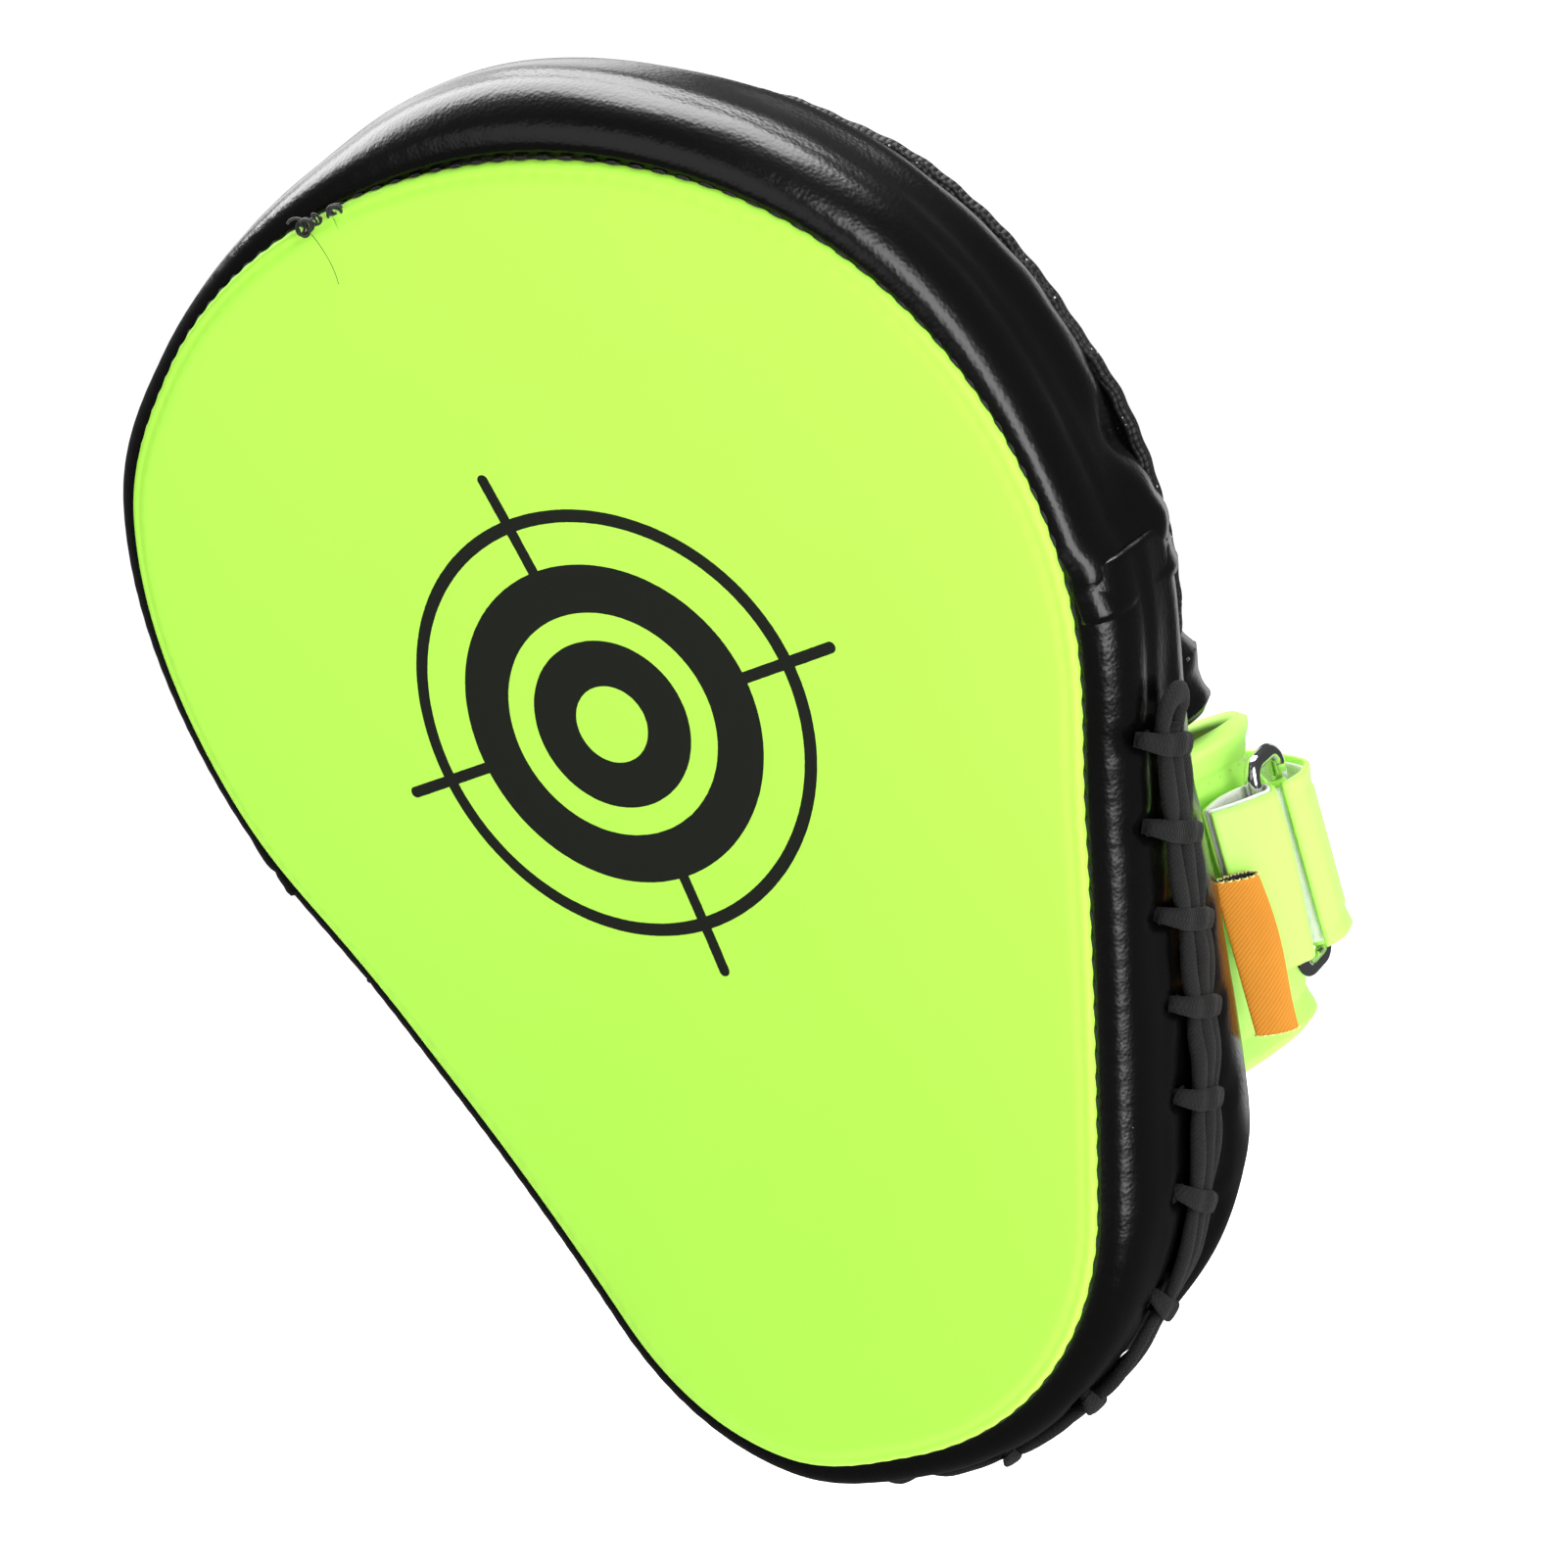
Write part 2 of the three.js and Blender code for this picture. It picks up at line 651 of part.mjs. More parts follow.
/** The rectangular wire ring, a closed loop with rounded corners. */
function buckleRing() {
  const start = onFlank(RING_FROM, RING_BAR_IN.out, RING_BAR_IN.y);
  const along = onFlank(RING_TO, RING_BAR_IN.out, RING_BAR_IN.y).sub(start);
  const across = onFlank(RING_FROM, RING_BAR_OUT.out, RING_BAR_OUT.y).sub(start);
  const [length, width] = [along.length(), across.length()];
  along.normalize();
  across.normalize();
  const square = along.clone().cross(across);
  const corners = [[0, 0, 180], [length, 0, 270], [length, width, 0], [0, width, 90]];
  const rings = [];
  for (const [u, v, from] of corners) {
    const inU = u === 0 ? RING_CORNER : -RING_CORNER;
    const inV = v === 0 ? RING_CORNER : -RING_CORNER;
    for (const turn of [0, 30, 60, 90]) {
      const angle = degToRad(from + turn);
      const outward = along.clone().multiplyScalar(Math.cos(angle));
      outward.addScaledVector(across, Math.sin(angle));
      const hub = start.clone().addScaledVector(along, u + inU).addScaledVector(across, v + inV);
      const ring = [];
      for (let side = 0; side < 8; side += 1) {
        const around = Math.PI * side / 4;
        const reach = RING_CORNER + RING_WIRE * Math.cos(around);
        const point = hub.clone().addScaledVector(outward, reach);
        ring.push(point.addScaledVector(square, RING_WIRE * Math.sin(around)));
      }
      rings.push(ring);
    }
  }
  return loft(rings, true);
}

/** The label: a folded tape whose two ends are sewn together into the rear seam. */
function labelLoop() {
  const reach = Math.hypot(LABEL_TIP.out - LABEL_ROOT.out, LABEL_TIP.y - LABEL_ROOT.y);
  const lean = Math.atan2(LABEL_TIP.y - LABEL_ROOT.y, LABEL_TIP.out - LABEL_ROOT.out);
  const place = (along, across) => new THREE.Vector2(
    LABEL_ROOT.out + along * Math.cos(lean) - across * Math.sin(lean),
    LABEL_ROOT.y + along * Math.sin(lean) + across * Math.cos(lean));
  const drop = (inset) => {
    const half = LABEL_HALF - inset;
    const points = [];
    for (let step = 0; step < 16; step += 1) {
      const turn = 2 * Math.PI * step / 16;
      const along = reach / 2 + (reach / 2 - inset) * Math.cos(turn);
      points.push(place(along, half * Math.sin(turn) * (0.75 + 0.25 * Math.cos(turn))));
    }
    return points;
  };
  const shape = new THREE.Shape(drop(0));
  shape.holes.push(new THREE.Path(drop(LABEL_SHEET)));
  return alongFlank(shape, LABEL_FROM, LABEL_TO);
}

/** A low padded ridge across the palm that the fingers close on. */
function palmGrip() {
  const size = { x: 34, z: 12, y: 11, centreZ: 8 };
  const around = 20;
  const rings = [];
  for (const lift of [0, 0.35, 0.7, 0.92]) {
    const ring = [];
    const share = Math.sqrt(1 - lift * lift);
    for (let step = 0; step < around; step += 1) {
      const turn = 2 * Math.PI * step / around;
      const z = size.centreZ + size.z * share * Math.sin(turn);
      const base = seamY(z) + padDepth(z) + PANEL_SHEET + GAP;
      ring.push(fromTarget(size.x * share * Math.cos(turn), base + size.y * lift, z));
    }
    rings.push(ring);
  }
  return loft(rings);
}

// ---------------------------------------------------------------- assembly

const mitt = new THREE.Group();

/** Adds one piece with its own material. */
function add(name, geometry, color, roughness, metalness = 0) {
  const mesh = new THREE.Mesh(geometry,
    new THREE.MeshStandardMaterial({ color, roughness, metalness }));
  mesh.name = name;
  mitt.add(mesh);
}

const LIME = 0xb8ff50;
const BLACK = 0x151515;
const LACE = 0x1e1e1d;

add('strike_face', strikeFace(), LIME, 0.55);
add('strike_foam', strikeFoam(), 0xe8e4d8, 0.95);
add('foam_core', foamCore(), 0x4a4a48, 0.9);
add('palm_foam', palmFoam(), 0xd8d4c8, 0.95);
add('side_wall_upper', upperWall(), BLACK, 0.35);
add('side_wall_lower', lowerWall(), BLACK, 0.3);
add('back_panel', backPanel(), 0x1a1a1a, 0.7);
add('edge_binding', edgeBinding(), 0x202020, 0.85);
add('lace_loop', laceLoop(), LACE, 0.9);
add('lace_runner', laceRunner(), LACE, 0.9);

const firstTie = seamAt(TIE_FIRST_Z);
const tiePitch = (0.5 - firstTie) / (TIES_PER_SIDE - 0.5);
for (let turn = 0; turn < TIES_PER_SIDE; turn += 1) {
  const number = String(turn + 1).padStart(2, '0');
  const at = firstTie + turn * tiePitch;
  add(`lace_tie_right_${number}`, laceTie(at), LACE, 0.9);
  add(`lace_tie_left_${number}`, laceTie(1 - at), LACE, 0.9);
}

add('hand_cover', handCover(), BLACK, 0.4);
add('palm_grip', palmGrip(), 0x262626, 0.8);
add('cuff_wing_right', cuffWing(1), LIME, 0.5);
add('cuff_wing_left', cuffWing(-1), LIME, 0.5);
add('cuff_pad_right', cuffPad(1), 0x1c1c1c, 0.8);
add('cuff_pad_left', cuffPad(-1), 0x1c1c1c, 0.8);
add('closure_strap', closureStrap(), LIME, 0.5);
add('loop_patch', loopPatch(), 0x222222, 1);
add('closure_flap', closureFlap(), LIME, 0.5);
add('hook_patch', hookPatch(), 0x222222, 0.9);
add('ring_anchor', ringAnchor(), LIME, 0.5);
add('buckle_ring', buckleRing(), 0xc9ccd0, 0.12, 1);
add('label_loop', labelLoop(), 0xdf981c, 0.85);

export default mitt;
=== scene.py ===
"""A curved focus mitt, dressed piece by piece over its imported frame.

Every length in this file is in millimetres until a mesh is made, when MM turns it into metres.
Plan places (x, z) are counted from the middle of the printed target, as the part's are, and a
depth is counted from the bent front seam towards the hand.
"""

import logging
import math
import random
from collections.abc import Callable, Sequence
from dataclasses import dataclass, field
from enum import Enum
from functools import cached_property

import bmesh
import bpy
import numpy as np
from mathutils import Matrix, Vector, noise


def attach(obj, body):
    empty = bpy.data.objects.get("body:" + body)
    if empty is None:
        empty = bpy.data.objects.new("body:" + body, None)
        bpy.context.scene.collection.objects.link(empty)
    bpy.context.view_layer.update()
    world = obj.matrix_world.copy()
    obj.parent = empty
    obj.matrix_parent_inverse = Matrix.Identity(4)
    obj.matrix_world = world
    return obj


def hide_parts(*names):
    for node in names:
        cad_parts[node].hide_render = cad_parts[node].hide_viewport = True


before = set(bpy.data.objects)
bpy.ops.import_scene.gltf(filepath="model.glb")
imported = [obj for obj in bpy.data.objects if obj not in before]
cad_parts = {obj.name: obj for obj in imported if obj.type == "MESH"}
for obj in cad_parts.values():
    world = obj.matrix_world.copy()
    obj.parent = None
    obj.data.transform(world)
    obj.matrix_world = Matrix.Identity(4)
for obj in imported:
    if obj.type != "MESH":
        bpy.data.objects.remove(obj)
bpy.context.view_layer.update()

LOG = logging.getLogger("focus_mitt")
MM = 0.001
Grid = np.ndarray


class Body(Enum):
    """The rigid bodies that pieces ride on."""

    MITT = "mitt"
    FLAP = "flap"
    RING = "ring"
    LABEL = "label"


class Slot(Enum):
    """The record's material slots."""

    LIME_PU = "lime_pu"
    BLACK_PU = "black_pu"
    SOFT_FOAM = "soft_foam"
    DENSE_FOAM = "dense_foam"
    PANEL_FABRIC = "panel_fabric"
    BINDING_TAPE = "binding_tape"
    LACE_COTTON = "lace_cotton"
    CUFF_LINING = "cuff_lining"
    HOOK_AND_LOOP = "hook_and_loop"
    RING_CHROME = "ring_chrome"
    LABEL_TWILL = "label_twill"


class Side(Enum):
    """The two sides of the hand, as the sign of x."""

    RIGHT = 1
    LEFT = -1

    @property
    def word(self) -> str:
        """The side's name in lower case, as the nodes use it."""
        return self.name.lower()


# ---------------------------------------------------------------- numbers and meshes


def smooth(value: Grid | float, low: float, high: float) -> Grid:
    """A smooth step from 0 at low to 1 at high.

    Args:
        value: Where to take the step.
        low: Where it begins.
        high: Where it ends.

    Returns:
        The step's height at each value.
    """
    share = np.clip((np.asarray(value, float) - low) / (high - low), 0, 1)
    return share * share * (3 - 2 * share)


def bezier(corners: Sequence[tuple[float, float]], share: Grid) -> Grid:
    """Points of a plane cubic curve.

    Args:
        corners: Its four control points.
        share: How far along it each point is, 0 to 1.

    Returns:
        One (x, y) row for each share.
    """
    a, b, c, d = (np.array(corner, float) for corner in corners)
    t = np.asarray(share, float)[:, None]
    return a * (1 - t) ** 3 + 3 * b * t * (1 - t) ** 2 + 3 * c * t * t * (1 - t) + d * t ** 3


def unit(vectors: Grid) -> Grid:
    """The vectors scaled to length 1."""
    return vectors / np.maximum(np.linalg.norm(vectors, axis=-1, keepdims=True), 1e-9)


def ripple(points: Grid, size: float, seed: float = 0.0, stretch: Sequence[float] = (1, 1, 1)) -> Grid:
    """Smooth noise over points, about -1 to 1, the same in every run.

    Args:
        points: Where to take it, in millimetres.
        size: The width of one swell, in millimetres.
        seed: Moves the pattern.
        stretch: How much longer the swells are along each axis.

    Returns:
        One value for each point.
    """
    flat = points.reshape(-1, 3) / (np.array(stretch, float) * size) + seed
    values = [noise.noise(Vector(row)) for row in flat]
    return np.array(values).reshape(points.shape[:-1]) * 1.6


@dataclass
class Patch:
    """A grid of points with a woven pattern's coordinates, both in millimetres."""

    points: Grid
    weave: Grid | None = None

    def pattern(self) -> Grid:
        """The pattern's coordinates: along the rows, and across the columns."""
        if self.weave is not None:
            return self.weave
        rows = np.linalg.norm(np.diff(self.points, axis=0), axis=-1).max(axis=1)
        along = np.concatenate([[0], np.cumsum(rows)])
        steps = np.linalg.norm(np.diff(self.points, axis=1), axis=-1)
        across = np.concatenate([np.zeros((len(steps), 1)), np.cumsum(steps, axis=1)], axis=1)
        return np.stack([np.repeat(along[:, None], across.shape[1], axis=1), across], axis=-1)


def build_piece(name: str, patches: Sequence[Patch], material: bpy.types.Material) -> bpy.types.Object:
    """Makes one smooth object from grids of points, welding the grids where they meet.

    Args:
        name: The object's name.
        patches: Its grids.
        material: Its finish.

    Returns:
        The new object, linked to the scene.
    """
    points, corners, weave = [], [], []
    start = 0
    for patch in patches:
        rows, columns = patch.points.shape[:2]
        index = np.arange(rows * columns).reshape(rows, columns) + start
        quads = np.stack([index[:-1, :-1], index[:-1, 1:], index[1:, 1:], index[1:, :-1]], -1)
        points.append(patch.points.reshape(-1, 3) * MM)
        weave.append(patch.pattern().reshape(-1, 2) * MM)
        corners.append(quads.reshape(-1, 4))
        start += rows * columns
    weave_all = np.concatenate(weave)
    mesh = bpy.data.meshes.new(name)
    mesh.from_pydata(np.concatenate(points).tolist(), [], np.concatenate(corners).tolist())
    layer = mesh.uv_layers.new(name="weave")
    loops = np.empty(len(mesh.loops), int)
    mesh.loops.foreach_get("vertex_index", loops)
    layer.data.foreach_set("uv", weave_all[loops].ravel())
    shape = bmesh.new()
    shape.from_mesh(mesh)
    bmesh.ops.remove_doubles(shape, verts=shape.verts, dist=2e-6)
    bmesh.ops.dissolve_degenerate(shape, edges=shape.edges, dist=1e-6)
    bmesh.ops.recalc_face_normals(shape, faces=shape.faces)
    shape.to_mesh(mesh)
    shape.free()
    mesh.polygons.foreach_set("use_smooth", [True] * len(mesh.polygons))
    mesh.materials.append(material)
    piece = bpy.data.objects.new(name, mesh)
    bpy.context.scene.collection.objects.link(piece)
    return piece


def place(piece: bpy.types.Object, body: Body, slot: Slot, nodes: Sequence[str] = ()) -> None:
    """Hangs a piece on its body, and lets it stand for CAD nodes.

    Args:
        piece: The finished piece.
        body: What it moves with.
        slot: The material slot of its finish; not used.
        nodes: The CAD nodes that it replaces.
    """
    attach(piece, body.value)
    if nodes:
        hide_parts(*nodes)
    LOG.info("%s rides on %s, %d faces", piece.name, body.value, len(piece.data.polygons))


def sheet_normals(surface: Grid) -> Grid:
    """Unit normals of a grid of points."""
    return unit(np.cross(np.gradient(surface, axis=0), np.gradient(surface, axis=1)))


def shell(surface: Grid, thick: float | Grid) -> Patch:
    """Gives a sheet its thickness, with rounded edges all round.

    Args:
        surface: The middle of the sheet, as a grid of points.
        thick: Its thickness, one number or one for each point.

    Returns:
        The closed skin as one grid, whose last column lies on its first.
    """
    thick = np.broadcast_to(np.asarray(thick, float), surface.shape[:2])[..., None]
    normal = sheet_normals(surface)
    along = unit(np.gradient(surface, axis=0))
    across = unit(np.gradient(surface, axis=1))
    top, low = surface + normal * thick / 2, surface - normal * thick / 2
    first = surface[:, :1] - across[:, :1] * thick[:, :1] * 0.4
    last = surface[:, -1:] + across[:, -1:] * thick[:, -1:] * 0.4
    rings = np.concatenate([first, top, last, low[:, ::-1], first], axis=1)
    closed = np.concatenate([first, surface, last, surface[:, ::-1], first], axis=1)
    start = closed[:1] - np.mean(along[:1] * thick[:1], axis=1, keepdims=True) * 0.4
    end = closed[-1:] + np.mean(along[-1:] * thick[-1:], axis=1, keepdims=True) * 0.4
    rings = np.concatenate([start, rings, end])
    weave = Patch(surface).pattern()
    outer = np.concatenate([weave[:, :1], weave, weave[:, -1:], weave[:, ::-1], weave[:, :1]], axis=1)
    outer = np.concatenate([outer[:1], outer, outer[-1:]])
    return Patch(rings, outer)


def sweep(path: Grid, up: Grid, half_width: Grid | float, half_height: Grid | float,
          sides: int = 14, closed: bool = False, square: float = 1.0) -> Patch:
    """Draws an oval section along a path.

    Args:
        path: The points of its middle.
        up: The way its flat top looks at each point.
        half_width: Half its width, one number or one for each point.
        half_height: Half its height, likewise.
        sides: How many corners the section has.
        closed: Whether the path runs back into itself; its last point then is its first.
        square: Below 1, how boxy the section is.

    Returns:
        The skin as one grid, with closed ends unless the path is closed.
    """
    ahead = unit(np.gradient(path, axis=0))
    if closed:
        ahead[0] = ahead[-1] = unit(path[1] - path[-2])
    across = unit(np.cross(ahead, up))
    lifted = unit(np.cross(across, ahead))
    turn = np.linspace(0, 2 * np.pi, sides + 1)
    width = np.broadcast_to(np.asarray(half_width, float), len(path))[:, None, None]
    height = np.broadcast_to(np.asarray(half_height, float), len(path))[:, None, None]
    cosine = np.sign(np.cos(turn)) * np.abs(np.cos(turn)) ** square
    sine = np.sign(np.sin(turn)) * np.abs(np.sin(turn)) ** square
    rings = (path[:, None] + across[:, None] * width * cosine[None, :, None]
             + lifted[:, None] * height * sine[None, :, None])
    along = np.concatenate([[0], np.cumsum(np.linalg.norm(np.diff(path, axis=0), axis=1))])
    reach = (width + height)[:, 0, 0].mean() * np.pi
    weave = np.stack(np.meshgrid(along, turn / (2 * np.pi) * reach, indexing="ij"), axis=-1)
    if not closed:
        rings = np.concatenate([np.repeat(path[:1, None], sides + 1, axis=1), rings,
                                np.repeat(path[-1:, None], sides + 1, axis=1)])
        weave = np.concatenate([weave[:1], weave, weave[-1:]])
    return Patch(rings, weave)


@dataclass(frozen=True)
class Stitching:
    """A row of lockstitch: short thread humps that dive into the cloth at both ends."""

    pitch: float = 4.0
    length: float = 2.9
    thread: float = 0.28
    proud: float = 0.25

    def row(self, path: Grid, up: Grid, closed: bool = False) -> list[Patch]:
        """Lays stitches along a path.

        Args:
            path: Points on the cloth.
            up: The cloth's outward normals there.
            closed: Whether the row runs all the way round.

        Returns:
            One patch for each stitch.
        """
        steps = np.linalg.norm(np.diff(path, axis=0), axis=1)
        reach = np.concatenate([[0], np.cumsum(steps)])
        count = max(2, int(reach[-1] / self.pitch) + (0 if closed else 1))
        starts = np.linspace(0, reach[-1], count + 1)[:-1] if closed else (
            np.linspace(0, max(reach[-1] - self.length, 0.1), count))
        patches = []
        for start in starts:
            at = start + np.linspace(0, self.length, 6)
            middle = np.stack([np.interp(at, reach, path[:, axis]) for axis in range(3)], axis=1)
            normal = unit(np.stack([np.interp(at, reach, up[:, axis]) for axis in range(3)], axis=1))
            hump = np.sin(np.linspace(0, np.pi, 6)) ** 0.6
            middle = middle + normal * ((hump * (self.proud + 0.4)) - 0.4)[:, None]
            patches.append(sweep(middle, normal, self.thread, self.thread, sides=6))
        return patches


# ---------------------------------------------------------------- the pad's own surfaces


@dataclass(frozen=True)
class PadShape:
    """The bent teardrop pad that every piece is measured from."""

    top_z: float = 98.5
    shoulder: tuple[float, float] = (91.3, 14.0)
    flank_top: tuple[float, float] = (76.0, -41.0)
    flank_end: tuple[float, float] = (52.0, -104.0)
    wrist_z: float = -138.0
    seam_rest: float = 3.7
    bend_radius: float = 435.0
    centre_z: float = -12.0
    crown: float = 3.7
    depth: float = 31.0
    wrist_extra: float = 23.0
    crown_extra: float = 5.0
    bulge: float = 7.2
    rear_offset: float = 3.2
    panel: float = 1.4
    gap: float = 0.3
    seat_z: float = -20.0
    lean_middle: float = 36.0
    lean_out: float = 0.14
    lean_back: float = 0.1
    left_fullness: float = 1.9

    @cached_property
    def seam_line(self) -> Grid:
        """The front seam's plan points, evenly spaced, clockwise from the crown and back to it."""
        share = np.linspace(0, 1, 241)
        (sx, sz), (fx, fz), (ex, ez) = self.shoulder, self.flank_top, self.flank_end
        runs = [
            bezier([(0, self.top_z), (50, self.top_z), (sx, 68), (sx, sz)], share),
            bezier([(sx, sz), (sx, -12), (83, -23), (fx, fz)], share)[1:],
            np.stack([np.linspace(fx, ex, 121), np.linspace(fz, ez, 121)], axis=1)[1:],
            bezier([(ex, ez), (44.4, -124), (27, self.wrist_z), (0, self.wrist_z)], share)[1:],
        ]
        right = np.concatenate(runs)
        whole = np.concatenate([right, (right * (-1, 1))[::-1][1:]])
        steps = np.linalg.norm(np.diff(whole, axis=0), axis=1)
        reach = np.concatenate([[0], np.cumsum(steps)])
        even = np.linspace(0, reach[-1], 4001)
        return np.stack([np.interp(even, reach, whole[:, axis]) for axis in (0, 1)], axis=1)

    @cached_property
    def seam_length(self) -> float:
        """The length of the front seam."""
        return float(np.linalg.norm(np.diff(self.seam_line, axis=0), axis=1).sum())

    def seam(self, at: Grid) -> tuple[Grid, Grid]:
        """The seam's plan points and outward normals.

        Args:
            at: Fractions of the seam's length from the crown, clockwise.

        Returns:
            The points and the normals, each with x and z last.
        """
        line = self.seam_line
        place_on = np.mod(at, 1.0) * (len(line) - 1)
        low = np.floor(place_on).astype(int)
        share = (place_on - low)[..., None]
        point = line[low] * (1 - share) + line[np.minimum(low + 1, len(line) - 1)] * share
        along = line[(low + 12) % (len(line) - 1)] - line[(low - 11) % (len(line) - 1)]
        return point, unit(np.stack([-along[..., 1], along[..., 0]], axis=-1))

    def seam_y(self, z: Grid) -> Grid:
        """How far back the bent front seam lies at height z."""
        return self.seam_rest - np.square(z) / (2 * self.bend_radius)

    def depth_at(self, z: Grid) -> Grid:
        """The pad's thickness at height z."""
        return (self.depth + self.wrist_extra * (1 - smooth(z, -110, -10))
                + self.crown_extra * smooth(z, 30, self.top_z))

    def wall_offset(self, fraction: Grid) -> Grid:
        """How far the wall stands outside the seam at a fraction of the depth."""
        fraction = np.asarray(fraction, float)
        rise = 1 - np.clip(fraction, 0, 0.2) / 0.2
        front = 1.8 + (self.bulge - 1.8) * np.sqrt(1 - rise * rise)
        fall = np.clip((fraction - 0.72) / 0.28, 0, 1) ** 2
        return np.where(fraction < 0.2, front, self.bulge + (self.rear_offset - self.bulge) * fall)

    @cached_property
    def seat_y(self) -> float:
        """How far behind the target the palm rests."""
        return float(self.seam_y(self.seat_z) + self.depth_at(self.seat_z) + self.panel)

    def place(self, x: Grid, y: Grid, z: Grid) -> Grid:
        """Points of the part from places counted from the target."""
        x, y, z = np.broadcast_arrays(x, y, z)
        return np.stack([x, y - self.seat_y, z - self.seat_z], axis=-1).astype(float)

    def in_pad(self, x: Grid, z: Grid, depth: Grid) -> Grid:
        """Points at plan places and depths behind the bent seam."""
        return self.place(x, self.seam_y(z) + depth, z)

    def beside(self, at: Grid, offset: Grid, depth: Grid) -> Grid:
        """Points beside the seam.

        Args:
            at: Fractions of the seam's length.
            offset: How far outside the seam each point is.
            depth: How far behind the bent seam it is.

        Returns:
            Points of the part.
        """
        at, offset, depth = np.broadcast_arrays(at, offset, depth)
        point, normal = self.seam(at)
        z = point[..., 1] + normal[..., 1] * offset
        return self.in_pad(point[..., 0] + normal[..., 0] * offset, z, depth)

    def pad_depth_along(self, at: Grid) -> Grid:
        """The pad's thickness at fractions of the seam's length."""
        return self.depth_at(self.seam(at)[0][..., 1])

    def left_side(self, at: Grid) -> Grid:
        """How much fuller the left side of the seam is than the crown and the right side."""
        from_crown = 1 - np.mod(np.asarray(at, float), 1.0)
        side = smooth(from_crown, 0.08, 0.13) * (1 - smooth(from_crown, 0.46, 0.5))
        return self.left_fullness * (side * (1 - 0.75 * np.exp(-((from_crown - 0.262) / 0.028) ** 2)))

    def seam_at(self, z: float) -> float:
        """The fraction of the seam's length where its right side passes height z."""
        half = self.seam_line[:2001]
        return float(np.interp(-z, -half[:, 1], np.linspace(0, 0.5, 2001)))

    def flank_width(self, z: Grid) -> Grid:
        """Half the seam's width across the straight flank at height z."""
        (fx, fz), (ex, ez) = self.flank_top, self.flank_end
        return fx + (np.asarray(z, float) - fz) * (fx - ex) / (fz - ez)

    @cached_property
    def flank_along(self) -> Grid:
        """The right flank's direction towards the wrist."""
        (fx, fz), (ex, ez) = self.flank_top, self.flank_end
        return unit(np.array([ex - fx, 0.0, ez - fz]))

    @cached_property
    def flank_out(self) -> Grid:
        """The way out of the right flank, square to it."""
        return np.array([-self.flank_along[2], 0.0, self.flank_along[0]])

    def on_flank(self, along: Grid, out: Grid, y: Grid) -> Grid:
        """Points in the right flank's own frame, which leans as the ring and the label do."""
        along, out, y = np.broadcast_arrays(along, out, y)
        past = along - self.lean_middle
        out, y = out + self.lean_out * past, y + self.lean_back * past
        x = self.flank_top[0] + along * self.flank_along[0] + out * self.flank_out[0]
        z = self.flank_top[1] + along * self.flank_along[2] + out * self.flank_out[2]
        return self.place(x, y, z)

    def rear_y(self, z: Grid) -> Grid:
        """How far behind the target the back panel's outer face lies at height z."""
        return self.seam_y(z) + self.depth_at(z) + self.panel


@dataclass(frozen=True)
class Arch:
    """The section of a sheet arched over the hand, at one height."""

    foot: float
    bulge: float
    height: float
    steep: float

    def points(self, share: Grid) -> Grid:
        """Points of the arch, from 0 at its foot to 1 over the middle of the hand."""
        corners = [(self.foot, 0), (self.foot + 3 * self.bulge, self.steep * self.height),
                   (max(self.foot - 5, 0.6 * self.foot), self.height), (0, self.height)]
        return bezier(corners, share)


def arched(pad: PadShape, heights: Grid, path_at: Callable[[float], Grid],
           lift: float = 0.0, drop: float = 0.0) -> Grid:
    """A sheet arched over the back panel.

    Args:
        pad: The pad beneath.
        heights: The plan heights of its rows.
        path_at: Gives the section's points at a height.
        lift: How far outside that section the sheet lies.
        drop: How far the first row falls from its first point to its last.

    Returns:
        The sheet's points, row by row.
    """
    paths = np.array([path_at(float(z)) for z in heights])
    along = unit(np.gradient(paths, axis=1))
    x = paths[..., 0] + along[..., 1] * lift
    y = np.maximum(paths[..., 1] - along[..., 0] * lift, 0)
    z = heights[:, None] * np.ones(paths.shape[1])
    if drop:
        fall = (heights - heights[-1]) / (heights[0] - heights[-1])
        z = z - drop * fall[:, None] * np.linspace(0, 1, paths.shape[1])
        for column in range(paths.shape[1]):
            for part in (x, y):
                part[:, column] = np.interp(z[:, column], heights[::-1], part[::-1, column])
    return pad.place(x, pad.rear_y(z) + pad.gap + y, z)


# ---------------------------------------------------------------- finishes


def linear(hex_colour: int, gain: float = 1.0) -> tuple[float, float, float, float]:
    """Turns an sRGB hex colour to linear light.

    Args:
        hex_colour: The colour as 0xRRGGBB.
        gain: Makes it lighter above 1, darker below.

    Returns:
        Linear red, green, blue and an alpha of 1.
    """
    channels = []
    for shift in (16, 8, 0):
        value = ((hex_colour >> shift) & 255) / 255
        light = value / 12.92 if value <= 0.04045 else ((value + 0.055) / 1.055) ** 2.4
        channels.append(min(1.0, light * gain))
    return (*channels, 1.0)


def node(tree: bpy.types.NodeTree, kind: str, settings: dict | None = None,
         inputs: dict | None = None) -> bpy.types.Node:
    """Adds one node with its settings, and fills or links its inputs.

    Args:
        tree: The material's nodes.
        kind: The node's type, without its ShaderNode prefix.
        settings: Its properties by name.
        inputs: Values, or other nodes' outputs, by input name or number.

    Returns:
        The new node.
    """
    made = tree.nodes.new("ShaderNode" + kind)
    for name, value in (settings or {}).items():
        setattr(made, name, value)
    for name, value in (inputs or {}).items():
        if isinstance(value, bpy.types.NodeSocket):
            tree.links.new(value, made.inputs[name])
        else:
            made.inputs[name].default_value = value
    return made


